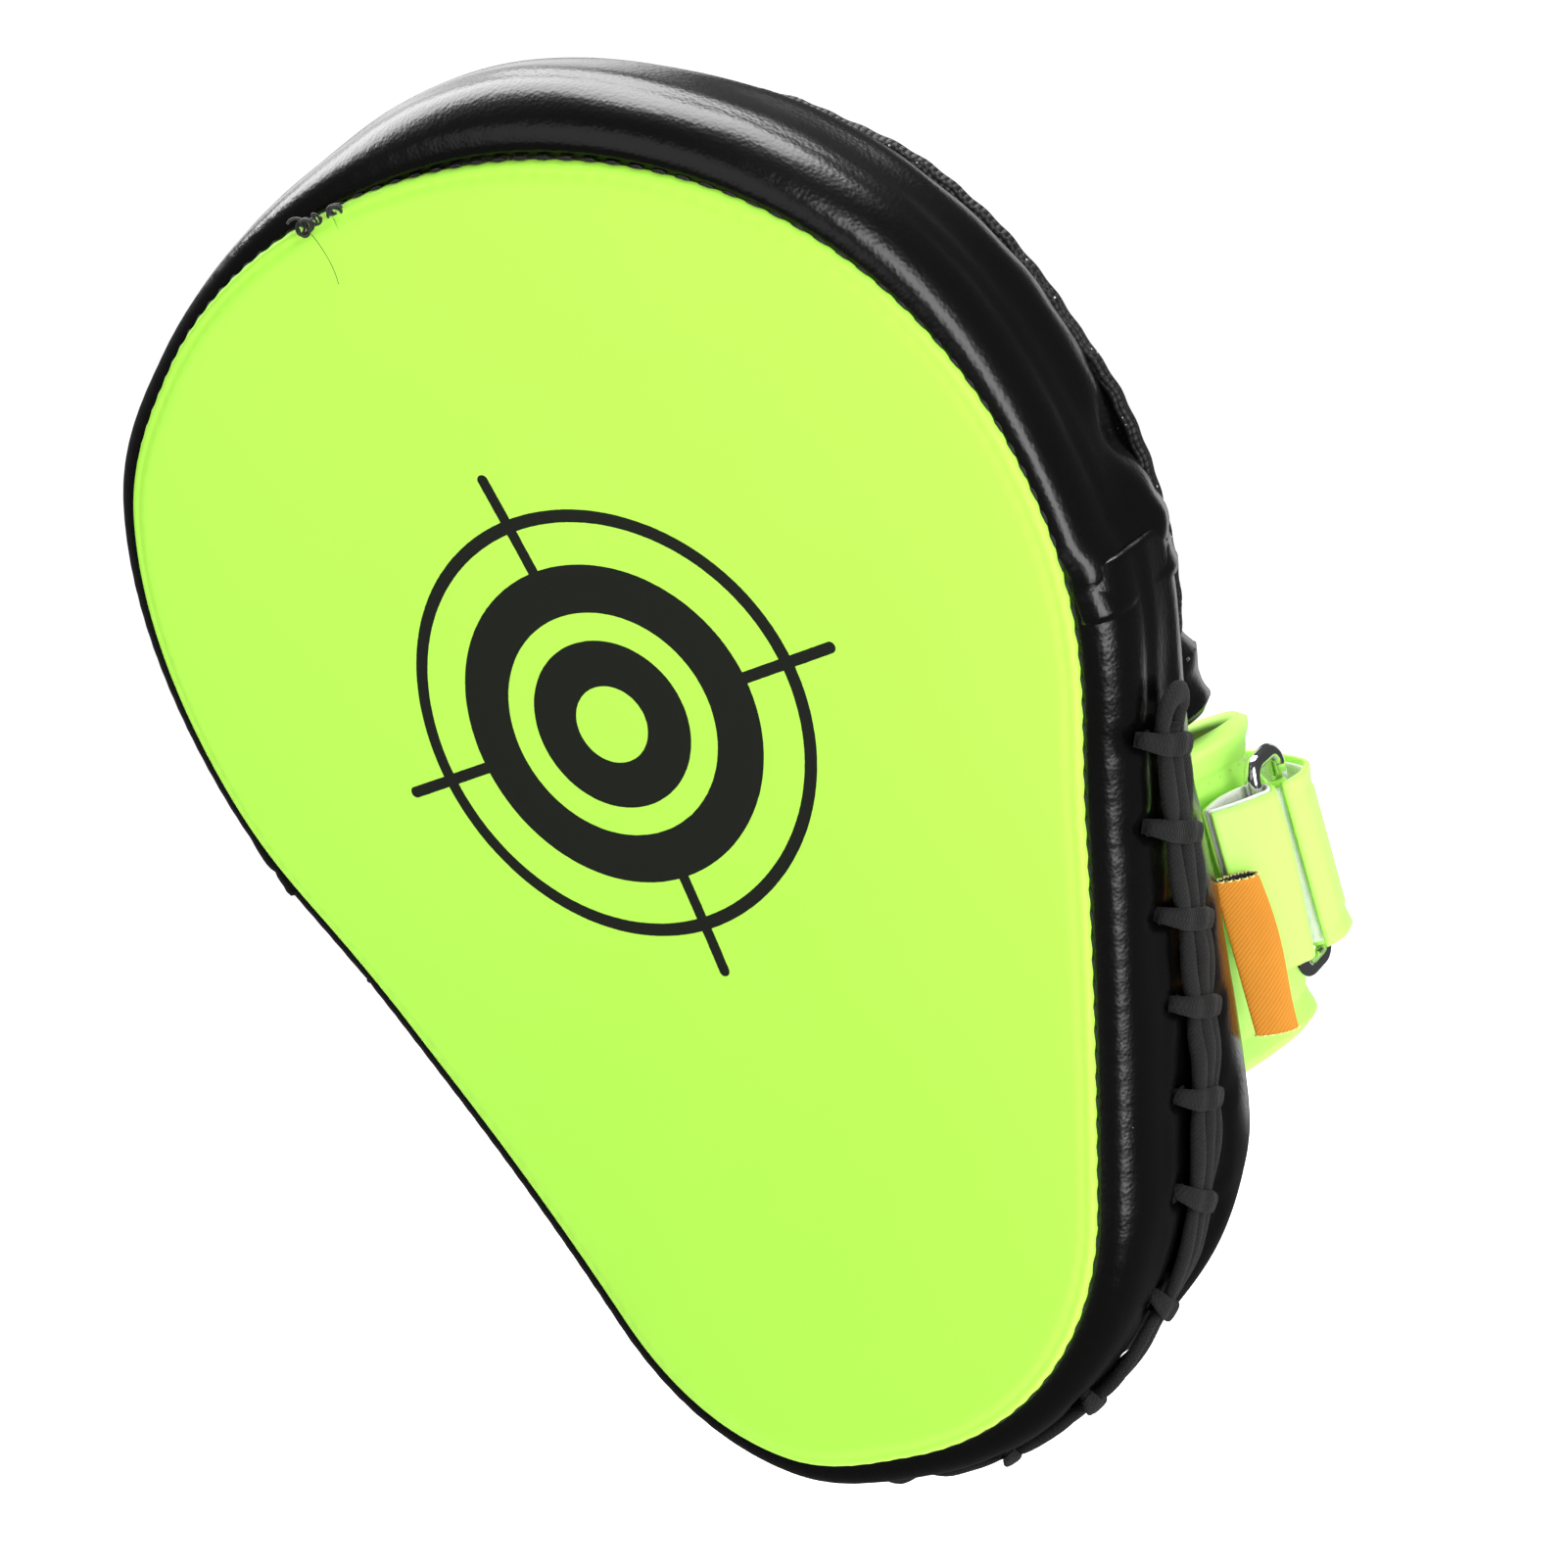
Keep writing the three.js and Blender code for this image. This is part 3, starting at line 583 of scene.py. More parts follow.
@dataclass(frozen=True)
class Finish:
    """What a surface is made of: one procedural material, made once."""

    name: str

    def material(self) -> bpy.types.Material:
        """The finish's material, made the first time it is asked for."""
        made = bpy.data.materials.get(self.name)
        if made is None:
            made = bpy.data.materials.new(self.name)
            made.use_nodes = True
            tree = made.node_tree
            tree.nodes.clear()
            shader = node(tree, "BsdfPrincipled")
            node(tree, "OutputMaterial", None, {"Surface": shader.outputs["BSDF"]})
            self.dress(tree, shader)
        return made

    def dress(self, tree: bpy.types.NodeTree, shader: bpy.types.Node) -> None:
        """Fills in the shader. Each finish has its own way."""
        raise NotImplementedError


@dataclass(frozen=True)
class TargetPrint:
    """The sight printed on the strike face: rings and four arms, as radii in millimetres."""

    ink: int = 0x1D1F19
    edges: tuple[float, ...] = (7.0, 15.26, 20.4, 29.2, 36.8, 39.25)
    arm_from: float = 28.8
    arm_to: float = 48.0
    arm_width: float = 2.1
    centre_z: float = 0.020

    def mask(self, tree: bpy.types.NodeTree, coordinates: bpy.types.NodeSocket) -> bpy.types.NodeSocket:
        """1 where the ink lies, 0 beside it.

        Args:
            tree: The material's nodes.
            coordinates: The piece's own coordinates, in metres.

        Returns:
            The mask's socket.
        """
        edge = node(tree, "TexNoise", None, {"Vector": coordinates, "Scale": 1 / (0.9 * MM)})
        wobble = node(tree, "VectorMath", {"operation": "MULTIPLY_ADD"}, {
            0: edge.outputs["Color"], 1: (0.12 * MM,) * 3, 2: coordinates})
        axes = node(tree, "SeparateXYZ", None, {0: wobble.outputs[0]})
        across = node(tree, "Math", {"operation": "ABSOLUTE"}, {0: axes.outputs["X"]})
        height = node(tree, "Math", {"operation": "SUBTRACT"}, {
            0: axes.outputs["Z"], 1: self.centre_z})
        upright = node(tree, "Math", {"operation": "ABSOLUTE"}, {0: height.outputs[0]})
        flat = node(tree, "CombineXYZ", None, {0: across.outputs[0], 1: upright.outputs[0]})
        radius = node(tree, "VectorMath", {"operation": "LENGTH"}, {0: flat.outputs[0]})
        share = node(tree, "Math", {"operation": "MULTIPLY"}, {
            0: radius.outputs["Value"], 1: 1 / (50 * MM)})
        rings = node(tree, "ValToRGB", None, {"Fac": share.outputs[0]})
        ramp = rings.color_ramp
        ramp.interpolation = "CONSTANT"
        ramp.elements[0].color = (0, 0, 0, 1)
        ramp.elements.remove(ramp.elements[1])
        for number, reach in enumerate(self.edges):
            ramp.elements.new(reach / 50).color = ((number + 1) % 2,) * 3 + (1,)
        along = node(tree, "Math", {"operation": "MAXIMUM"}, {0: across.outputs[0], 1: upright.outputs[0]})
        beside = node(tree, "Math", {"operation": "MINIMUM"}, {0: across.outputs[0], 1: upright.outputs[0]})
        tip = (self.arm_to - self.arm_width / 2) * MM
        beyond = node(tree, "Math", {"operation": "SUBTRACT"}, {0: along.outputs[0], 1: tip})
        over = node(tree, "Math", {"operation": "MAXIMUM"}, {0: beyond.outputs[0], 1: 0.0})
        corner = node(tree, "CombineXYZ", None, {0: beside.outputs[0], 1: over.outputs[0]})
        away = node(tree, "VectorMath", {"operation": "LENGTH"}, {0: corner.outputs[0]})
        inside = node(tree, "Math", {"operation": "LESS_THAN"}, {
            0: away.outputs["Value"], 1: self.arm_width / 2 * MM})
        outer = node(tree, "Math", {"operation": "GREATER_THAN"}, {
            0: along.outputs[0], 1: self.arm_from * MM})
        arm = node(tree, "Math", {"operation": "MULTIPLY"}, {0: inside.outputs[0], 1: outer.outputs[0]})
        whole = node(tree, "Math", {"operation": "MAXIMUM"}, {0: rings.outputs[0], 1: arm.outputs[0]})
        return whole.outputs[0]


@dataclass(frozen=True)
class CoatedLeather(Finish):
    """Synthetic leather: cloth coated with polyurethane and embossed with a fine pebbled grain."""

    colour: int = 0x101010
    roughness: float = 0.35
    grain: float = 0.75
    grain_depth: float = 0.05
    crease: float = 0.1
    unevenness: float = 0.04
    motes: float = 0.0
    specular: float = 0.5
    print: TargetPrint | None = None

    def dress(self, tree: bpy.types.NodeTree, shader: bpy.types.Node) -> None:
        """Grain and creases in the bump, slow drifts of colour and gloss, and specks of lint."""
        place_in = node(tree, "TexCoord").outputs["Object"]
        drift = node(tree, "TexNoise", None, {
            "Vector": place_in, "Scale": 1 / (28 * MM), "Detail": 3.0}).outputs["Fac"]
        tone = node(tree, "Mix", {"data_type": "RGBA"}, {
            "Factor": drift, "A": linear(self.colour, 1 - self.unevenness),
            "B": linear(self.colour, 1 + self.unevenness)}).outputs["Result"]
        if self.print is not None:
            tone = node(tree, "Mix", {"data_type": "RGBA"}, {
                "Factor": self.print.mask(tree, place_in), "A": tone,
                "B": linear(self.print.ink)}).outputs["Result"]
        if self.motes > 0:
            cells = node(tree, "TexVoronoi", None, {"Vector": place_in, "Scale": 1 / (3.6 * MM)})
            near = node(tree, "Math", {"operation": "LESS_THAN"}, {
                0: cells.outputs["Distance"], 1: self.motes}).outputs[0]
            pick = node(tree, "SeparateColor", None, {0: cells.outputs["Color"]}).outputs[0]
            some = node(tree, "Math", {"operation": "GREATER_THAN"}, {0: pick, 1: 0.8}).outputs[0]
            mote = node(tree, "Math", {"operation": "MULTIPLY"}, {0: near, 1: some}).outputs[0]
            tone = node(tree, "Mix", {"data_type": "RGBA"}, {
                "Factor": mote, "A": tone, "B": linear(0xA8A8A0)}).outputs["Result"]
        gloss = node(tree, "MapRange", None, {
            "Value": drift, "To Min": self.roughness - 0.04, "To Max": self.roughness + 0.05})
        pebbles = node(tree, "TexVoronoi", {"feature": "SMOOTH_F1"}, {
            "Vector": place_in, "Scale": 1 / (self.grain * MM), "Smoothness": 0.6})
        fold = node(tree, "TexNoise", None, {
            "Vector": place_in, "Scale": 1 / (5 * MM), "Detail": 5.0, "Roughness": 0.55})
        soft = node(tree, "Bump", None, {
            "Height": fold.outputs["Fac"], "Strength": 1.0, "Distance": self.crease * MM})
        fine = node(tree, "Bump", None, {
            "Height": pebbles.outputs["Distance"], "Strength": 1.0,
            "Distance": self.grain_depth * MM, "Normal": soft.outputs["Normal"]})
        tree.links.new(tone, shader.inputs["Base Color"])
        tree.links.new(gloss.outputs["Result"], shader.inputs["Roughness"])
        tree.links.new(fine.outputs["Normal"], shader.inputs["Normal"])
        shader.inputs["IOR"].default_value = 1.5
        shader.inputs["Specular IOR Level"].default_value = self.specular


class Weave(Enum):
    """How a cloth's threads cross."""

    PLAIN = "plain"
    TWILL = "twill"
    BRAID = "braid"
    PILE = "pile"


@dataclass(frozen=True)
class WovenCloth(Finish):
    """Cloth, tape or lace: threads over and under each other, at their real pitch."""

    colour: int = 0x1C1C1B
    weave: Weave = Weave.PLAIN
    thread: float = 0.5
    relief: float = 0.12
    roughness: float = 0.85
    sheen: float = 0.25
    specks: float = 0.0
    shade: float = 0.55
    glow: float = 0.0

    def height(self, tree: bpy.types.NodeTree, weave_at: bpy.types.NodeSocket) -> bpy.types.NodeSocket:
        """How high the threads stand, 0 to 1.

        Args:
            tree: The material's nodes.
            weave_at: Coordinates along and across the cloth, in metres.

        Returns:
            The height's socket.
        """
        turns = math.pi / (self.thread * MM)
        matrix = {
            Weave.PLAIN: ((turns, 0.0), (0.0, turns)),
            Weave.TWILL: ((turns * 0.7, turns * 0.7), (turns * 2.2, -turns * 2.2)),
            Weave.BRAID: ((turns, turns * 0.6), (turns, -turns * 0.6)),
            Weave.PILE: ((turns * 1.3, turns * 0.4), (turns * 0.3, turns * 1.2)),
        }[self.weave]
        axes = node(tree, "SeparateXYZ", None, {0: weave_at})
        waves = []
        for along, across in matrix:
            first = node(tree, "Math", {"operation": "MULTIPLY"}, {0: axes.outputs["X"], 1: along})
            both = node(tree, "Math", {"operation": "MULTIPLY_ADD"}, {
                0: axes.outputs["Y"], 1: across, 2: first.outputs[0]})
            wave = node(tree, "Math", {"operation": "SINE"}, {0: both.outputs[0]})
            waves.append(node(tree, "Math", {"operation": "ABSOLUTE"}, {0: wave.outputs[0]}).outputs[0])
        weight = 0.8 if self.weave is Weave.TWILL else 0.5
        return node(tree, "Mix", None, {
            "Factor": 1 - weight, "A": waves[0], "B": waves[1]}).outputs["Result"]

    def dress(self, tree: bpy.types.NodeTree, shader: bpy.types.Node) -> None:
        """Paints shade into the gaps between threads and a painted highlight onto their tops, raises the
        threads in the bump, and frays them a little.
        """
        spots = node(tree, "TexCoord")
        raised = self.height(tree, spots.outputs["UV"])
        fray = node(tree, "TexNoise", None, {
            "Vector": spots.outputs["Object"], "Scale": 1 / (0.8 * MM), "Detail": 4.0}).outputs["Fac"]
        wear = node(tree, "TexNoise", None, {
            "Vector": spots.outputs["Object"], "Scale": 1 / (9 * MM), "Detail": 2.0}).outputs["Fac"]
        mixed = node(tree, "Math", {"operation": "MULTIPLY_ADD"}, {0: fray, 1: 0.5, 2: raised}).outputs[0]
        level = node(tree, "MapRange", None, {
            "Value": mixed, "From Min": 0.2, "From Max": 1.2}).outputs["Result"]
        # Painted shade in the gaps between threads, and a painted highlight on the raised threads.
        tone = node(tree, "Mix", {"data_type": "RGBA"}, {
            "Factor": level, "A": linear(self.colour, self.shade),
            "B": linear(self.colour, 1.25)}).outputs["Result"]
        tone = node(tree, "Mix", {"data_type": "RGBA"}, {
            "Factor": wear, "A": tone, "B": linear(self.colour, 0.9)}).outputs["Result"]
        if self.specks > 0:
            cells = node(tree, "TexVoronoi", None, {
                "Vector": spots.outputs["Object"], "Scale": 1 / (1.7 * MM)})
            near = node(tree, "Math", {"operation": "LESS_THAN"}, {
                0: cells.outputs["Distance"], 1: self.specks}).outputs[0]
            pick = node(tree, "SeparateColor", None, {0: cells.outputs["Color"]}).outputs[0]
            some = node(tree, "Math", {"operation": "GREATER_THAN"}, {0: pick, 1: 0.62}).outputs[0]
            fleck = node(tree, "Math", {"operation": "MULTIPLY"}, {0: near, 1: some}).outputs[0]
            tone = node(tree, "Mix", {"data_type": "RGBA"}, {
                "Factor": fleck, "A": tone, "B": linear(0xD8D8D2)}).outputs["Result"]
        bump = node(tree, "Bump", None, {
            "Height": mixed, "Strength": 1.0, "Distance": self.relief * MM})
        tree.links.new(tone, shader.inputs["Base Color"])
        tree.links.new(bump.outputs["Normal"], shader.inputs["Normal"])
        shader.inputs["Roughness"].default_value = self.roughness
        shader.inputs["Sheen Weight"].default_value = self.sheen
        shader.inputs["Emission Color"].default_value = (1, 1, 1, 1)
        shader.inputs["Emission Strength"].default_value = self.glow


@dataclass(frozen=True)
class ChromePlate(Finish):
    """Bent steel wire, nickel and chrome plated: a mirror with faint rub marks."""

    colour: int = 0xDADCDE
    roughness: float = 0.09

    def dress(self, tree: bpy.types.NodeTree, shader: bpy.types.Node) -> None:
        """A bright mirror whose gloss varies where it is rubbed, with fine scratches."""
        place_in = node(tree, "TexCoord").outputs["Object"]
        rub = node(tree, "TexNoise", None, {"Vector": place_in, "Scale": 1 / (3 * MM), "Detail": 4.0})
        gloss = node(tree, "MapRange", None, {
            "Value": rub.outputs["Fac"], "To Min": self.roughness * 0.6, "To Max": self.roughness * 2.2})
        scratch = node(tree, "TexNoise", None, {
            "Vector": place_in, "Scale": 1 / (0.4 * MM), "Detail": 2.0, "Distortion": 2.0})
        bump = node(tree, "Bump", None, {
            "Height": scratch.outputs["Fac"], "Strength": 1.0, "Distance": 0.004 * MM})
        tree.links.new(gloss.outputs["Result"], shader.inputs["Roughness"])
        tree.links.new(bump.outputs["Normal"], shader.inputs["Normal"])
        shader.inputs["Base Color"].default_value = linear(self.colour)
        shader.inputs["Metallic"].default_value = 1.0


@dataclass(frozen=True)
class Foam(Finish):
    """Cut foam: open cells, with painted shade in their hollows that leaves their rims looking lit."""

    colour: int = 0xE4E0D2
    cell: float = 0.9

    def dress(self, tree: bpy.types.NodeTree, shader: bpy.types.Node) -> None:
        """Pores in the bump, and painted shade inside them."""
        place_in = node(tree, "TexCoord").outputs["Object"]
        cells = node(tree, "TexVoronoi", None, {"Vector": place_in, "Scale": 1 / (self.cell * MM)})
        # Painted shade: the middles of the pores are darker than their rims.
        tone = node(tree, "Mix", {"data_type": "RGBA"}, {
            "Factor": cells.outputs["Distance"], "A": linear(self.colour, 0.6),
            "B": linear(self.colour)})
        bump = node(tree, "Bump", None, {
            "Height": cells.outputs["Distance"], "Strength": 1.0, "Distance": 0.2 * MM})
        tree.links.new(tone.outputs["Result"], shader.inputs["Base Color"])
        tree.links.new(bump.outputs["Normal"], shader.inputs["Normal"])
        shader.inputs["Roughness"].default_value = 0.95


@dataclass(frozen=True)
class Wardrobe:
    """Every finish on the mitt."""

    # Lime polyurethane over knit, calendered almost smooth: satin, evenly bright, grain barely seen.
    face: Finish = CoatedLeather(
        "lime_polyurethane_face", colour=0xB4F853, roughness=0.5, grain=0.6, grain_depth=0.006,
        crease=0.012, unevenness=0.012, specular=0.25, print=TargetPrint())
    # The same coated cloth in a paler, thinner quality for the straps: softer gloss.
    strap: Finish = CoatedLeather(
        "lime_polyurethane_strap", colour=0xB6F268, roughness=0.46, grain=0.7, grain_depth=0.012,
        crease=0.05, unevenness=0.03)
    # Black polyurethane, embossed and lacquered: glossy, with a pebble that shows beside highlights.
    black: Finish = CoatedLeather(
        "black_polyurethane", colour=0x050505, roughness=0.25, grain=0.7, grain_depth=0.035,
        crease=0.05, unevenness=0.08, motes=0.022)
    # The woven back of the coated cloth: white, matt and flat.
    backing: Finish = WovenCloth(
        "cotton_backing_cloth", colour=0xE9ECE4, weave=Weave.PLAIN, thread=0.5, relief=0.05, shade=0.85)
    # Flat cotton lace, braided: dull black with a herringbone that catches a soft sheen.
    lace: Finish = WovenCloth(
        "braided_cotton_lace", colour=0x111111, weave=Weave.BRAID, thread=0.8, relief=0.14, sheen=0.04)
    # Coarse polypropylene tape folded over the seam: open weave with light flecks in its gaps.
    binding: Finish = WovenCloth(
        "polypropylene_binding_tape", colour=0x141414, weave=Weave.PLAIN, thread=1.2, relief=0.35,
        roughness=0.5, sheen=0.0, specks=0.1)
    # Nylon pack cloth on the palm side: a plain weave with a slight shine.
    panel: Finish = WovenCloth(
        "nylon_pack_cloth", colour=0x171717, weave=Weave.PLAIN, thread=0.9, relief=0.08,
        roughness=0.6, sheen=0.1)
    # Brushed knit that lines the cuff and the grip: soft, with no gloss.
    lining: Finish = WovenCloth(
        "brushed_knit_lining", colour=0x1E1E1F, weave=Weave.PILE, thread=1.0, relief=0.2, sheen=0.5)
    # Hook side of a touch fastener: rows of stiff nylon hooks.
    hook: Finish = WovenCloth(
        "nylon_hook_tape", colour=0x191919, weave=Weave.PLAIN, thread=1.1, relief=0.5,
        roughness=0.45, sheen=0.0)
    # Loop side: a tangle of fine nylon loops that scatters light softly.
    loop: Finish = WovenCloth(
        "nylon_loop_tape", colour=0x202020, weave=Weave.PILE, thread=0.7, relief=0.4, sheen=0.6)
    # Polyester twill label tape: steep diagonal ribs, a little silky.
    twill: Finish = WovenCloth(
        "polyester_twill_tape", colour=0xC67E0C, weave=Weave.TWILL, thread=0.62, relief=0.07,
        roughness=0.75, sheen=0.0, shade=0.78)
    # Bonded polyester sewing thread, black, lime and yellow: a tight twist with a small sheen.
    thread_black: Finish = WovenCloth(
        "black_sewing_thread", colour=0x141413, weave=Weave.BRAID, thread=0.5, relief=0.05, roughness=0.6)
    thread_lime: Finish = WovenCloth(
        "lime_sewing_thread", colour=0xA6E858, weave=Weave.BRAID, thread=0.5, relief=0.05,
        roughness=0.6, shade=0.8)
    thread_yellow: Finish = WovenCloth(
        "yellow_sewing_thread", colour=0xE8DC8C, weave=Weave.BRAID, thread=0.5, relief=0.05,
        roughness=0.6, shade=0.8)
    # Chrome-plated wire.
    chrome: Finish = ChromePlate("chrome_plated_steel_wire")
    # Soft polyurethane foam behind the face and the palm, and dense closed-cell foam between.
    soft_foam: Finish = Foam("polyurethane_foam")
    dense_foam: Finish = Foam("closed_cell_foam", colour=0x47474A, cell=0.5)
    # Painted shade: a dark matt sheet where a slit that lace passes through opens into the wall.
    slit: Finish = WovenCloth(
        "slit_painted_shade", colour=0x060606, weave=Weave.PLAIN, thread=0.5, relief=0.05, sheen=0.0)
    # Backlit studio paper: matt, pale, with a faint tooth, and a glow that keeps shadows soft.
    paper: Finish = WovenCloth(
        "backlit_studio_paper", colour=0xF4F4F2, weave=Weave.PILE, thread=3.0, relief=0.01,
        sheen=0.0, shade=0.98, glow=0.98)


# ---------------------------------------------------------------- strike face


@dataclass
class StrikeFace:
    """The crowned lime sheet that is hit, sewn all round into the front seam."""

    pad: PadShape
    wardrobe: Wardrobe
    around: int = 720
    inset: float = 2.2
    roll: float = 2.4
    drop: float = 0.3
    turned: tuple[tuple[float, float], ...] = (
        (-1.6, 0.42), (-1.1, 0.75), (-0.75, 1.3), (-0.6, 1.9), (-0.8, 2.6), (-1.3, 3.3))
    stitching: Stitching = Stitching(pitch=4.0, length=2.7, thread=0.3, proud=0.2)
    stray_at: float = 0.004

    def at_share(self, at: Grid, share: Grid) -> Grid:
        """Points of the sheet.

        Args:
            at: Fractions of the seam's length.
            share: How far out from the middle, 0 to 1 at the seam.

        Returns:
            Points of the part.
        """
        point, normal = self.pad.seam(at)
        point = point - normal * (self.inset - self.pad.left_side(at))[..., None]
        middle = np.array([0.0, self.pad.centre_z])
        reach = np.linalg.norm(point - middle, axis=-1)
        spot = middle + (point - middle) * share[..., None]
        inside = (1 - share) * reach
        depth = -self.pad.crown * (1 - share ** 3)
        depth = depth + self.drop * (1 - smooth(inside, 0, self.roll)) ** 2
        beat = np.cos(2 * np.pi * at * self.pad.seam_length / self.stitching.pitch)
        depth = depth + 0.16 * (0.5 + 0.5 * beat) * np.exp(-(inside / 1.7) ** 2)
        level = depth + (self.pad.seam_y(self.pad.centre_z) - self.pad.seam_y(spot[..., 1])) * (
            1 - smooth(share, 0, 0.12))
        points = self.pad.in_pad(spot[..., 0], spot[..., 1], level)
        points[..., 1] += 0.12 * ripple(points, 42, 3.0) * (1 - share ** 2)
        return points

    def make_sheet(self) -> bpy.types.Object:
        """Makes the sheet, its edge turned over the front seam and sewn under the wall's lip."""
        at = np.linspace(0, 1, self.around + 1)
        shares = np.concatenate([np.linspace(0.002, 0.9, 16), 1 - 0.09 * np.linspace(1, 0, 16) ** 1.4])
        points = self.at_share(at[:, None], np.broadcast_to(shares, (len(at), len(shares))))
        out = np.array([offset for offset, _ in self.turned])[None, :]
        deep = np.array([depth for _, depth in self.turned])[None, :]
        pucker = 0.5 - 0.5 * np.cos(2 * np.pi * at * self.pad.seam_length / self.stitching.pitch)
        out = out - 0.22 * pucker[:, None] * smooth(deep, 0.6, 1.8)
        out = out + self.pad.left_side(at)[:, None]
        rows = np.concatenate([points, self.pad.beside(at[:, None], out, deep)], axis=1)
        middle = np.broadcast_to(points[:, 0].mean(axis=0), (len(at), 1, 3))
        rows = np.concatenate([middle, rows], axis=1)
        return build_piece("strike_sheet", [Patch(rows)], self.wardrobe.face.material())

    def make_stitches(self) -> bpy.types.Object:
        """Makes the black stitches that close the front seam."""
        at = np.linspace(0, 1, 1441)
        path = self.pad.beside(at, -0.75 + self.pad.left_side(at), 2.2)
        normal = self.pad.seam(at)[1]
        up = unit(np.stack([normal[:, 0], np.full(len(at), 0.1), normal[:, 1]], axis=1))
        patches = self.stitching.row(path, up, closed=True)
        return build_piece("face_stitches", patches, self.wardrobe.thread_black.material())

    def make_stray_thread(self) -> bpy.types.Object:
        """Makes the two knots of loose thread and the hair-thin end that were left in the seam."""
        chance = random.Random(7)
        patches = []
        for centre, loops, width in ((0.0, 5, 1.5), (0.0115, 7, 2.1), (0.0075, 3, 1.2)):
            home = self.pad.beside(np.array(self.stray_at - centre), -1.2, -0.5)
            for _ in range(loops):
                steps = np.linspace(0, 1, 14)
                bends = [chance.uniform(-1, 1) for _ in range(6)]
                tilt = chance.uniform(0, math.tau)
                path = np.stack([
                    width * (np.cos(tilt + 4.4 * steps) * 0.7 + bends[0] * steps),
                    -0.9 * np.sin(math.pi * steps) * abs(bends[1]) - 0.2,
                    width * (np.sin(tilt + 4.4 * steps) * 0.55 + bends[2] * steps * 0.8),
                ], axis=1) + home
                up = np.broadcast_to(np.array([0.3, -1.0, 0.2]), path.shape)
                patches.append(sweep(path, up, 0.24, 0.24, sides=6))
        steps = np.linspace(0, 1, 16)
        root = self.pad.beside(np.array(self.stray_at - 0.0115), -2.0, -0.5)
        hair = root + np.stack([1.5 * steps + np.sin(3 * steps), -0.7 - 0.8 * steps,
                                -9.5 * steps + 0.8 * np.cos(4 * steps)], axis=1)
        up = np.broadcast_to(np.array([0.0, -1.0, 0.0]), hair.shape)
        patches.append(sweep(hair, up, 0.06, 0.06, sides=5))
        return build_piece("stray_thread", patches, self.wardrobe.thread_black.material())

    def build(self) -> None:
        """Makes, dresses and places the whole face."""
        sheet = self.make_sheet()
        place(sheet, Body.MITT, Slot.LIME_PU, ["strike_face"])
        place(self.make_stitches(), Body.MITT, Slot.BLACK_PU)
        place(self.make_stray_thread(), Body.MITT, Slot.BLACK_PU)


@dataclass
class FoamLayer:
    """One of the three foam layers sealed inside the pad, cut a little smaller than the wall."""

    pad: PadShape
    wardrobe: Wardrobe
    node_name: str
    slot: Slot
    front: float
    back: float
    edge: tuple[float, float]
    under_sheet: float = 2.6

    def face(self, at: Grid, share: Grid, fraction: float) -> Grid:
        """Points of one face of the layer.

        Args:
            at: Fractions of the seam's length.
            share: How far out from the middle, 0 to 1 at the edge.
            fraction: How deep the face lies in the pad.

        Returns:
            Points of the part.
        """
        point, normal = self.pad.seam(at)
        middle = np.array([0.0, self.pad.centre_z])
        edge = point + normal * np.interp(fraction, (self.front, self.back), self.edge)
        spot = middle + (edge - middle)[:, None] * share[None, :, None]
        depth = fraction * self.pad.depth_at(spot[..., 1])
        if fraction == 0:
            depth = self.under_sheet - self.pad.crown * (1 - share[None, :] ** 3) + np.zeros_like(depth)
        return self.pad.in_pad(spot[..., 0], spot[..., 1], depth)

    def build(self) -> None:
        """Makes, dresses and places the layer."""
        at = np.linspace(0, 1, 181)
        share = np.linspace(0.004, 1, 12)
        front = self.face(at, share, self.front)
        back = self.face(at, share, self.back)[:, ::-1]
        finish = self.wardrobe.dense_foam if self.slot is Slot.DENSE_FOAM else self.wardrobe.soft_foam
        foam = build_piece(f"{self.node_name}_layer", [Patch(np.concatenate([front, back], axis=1))],
                           finish.material())
        place(foam, Body.MITT, self.slot, [self.node_name])


# ---------------------------------------------------------------- lacing


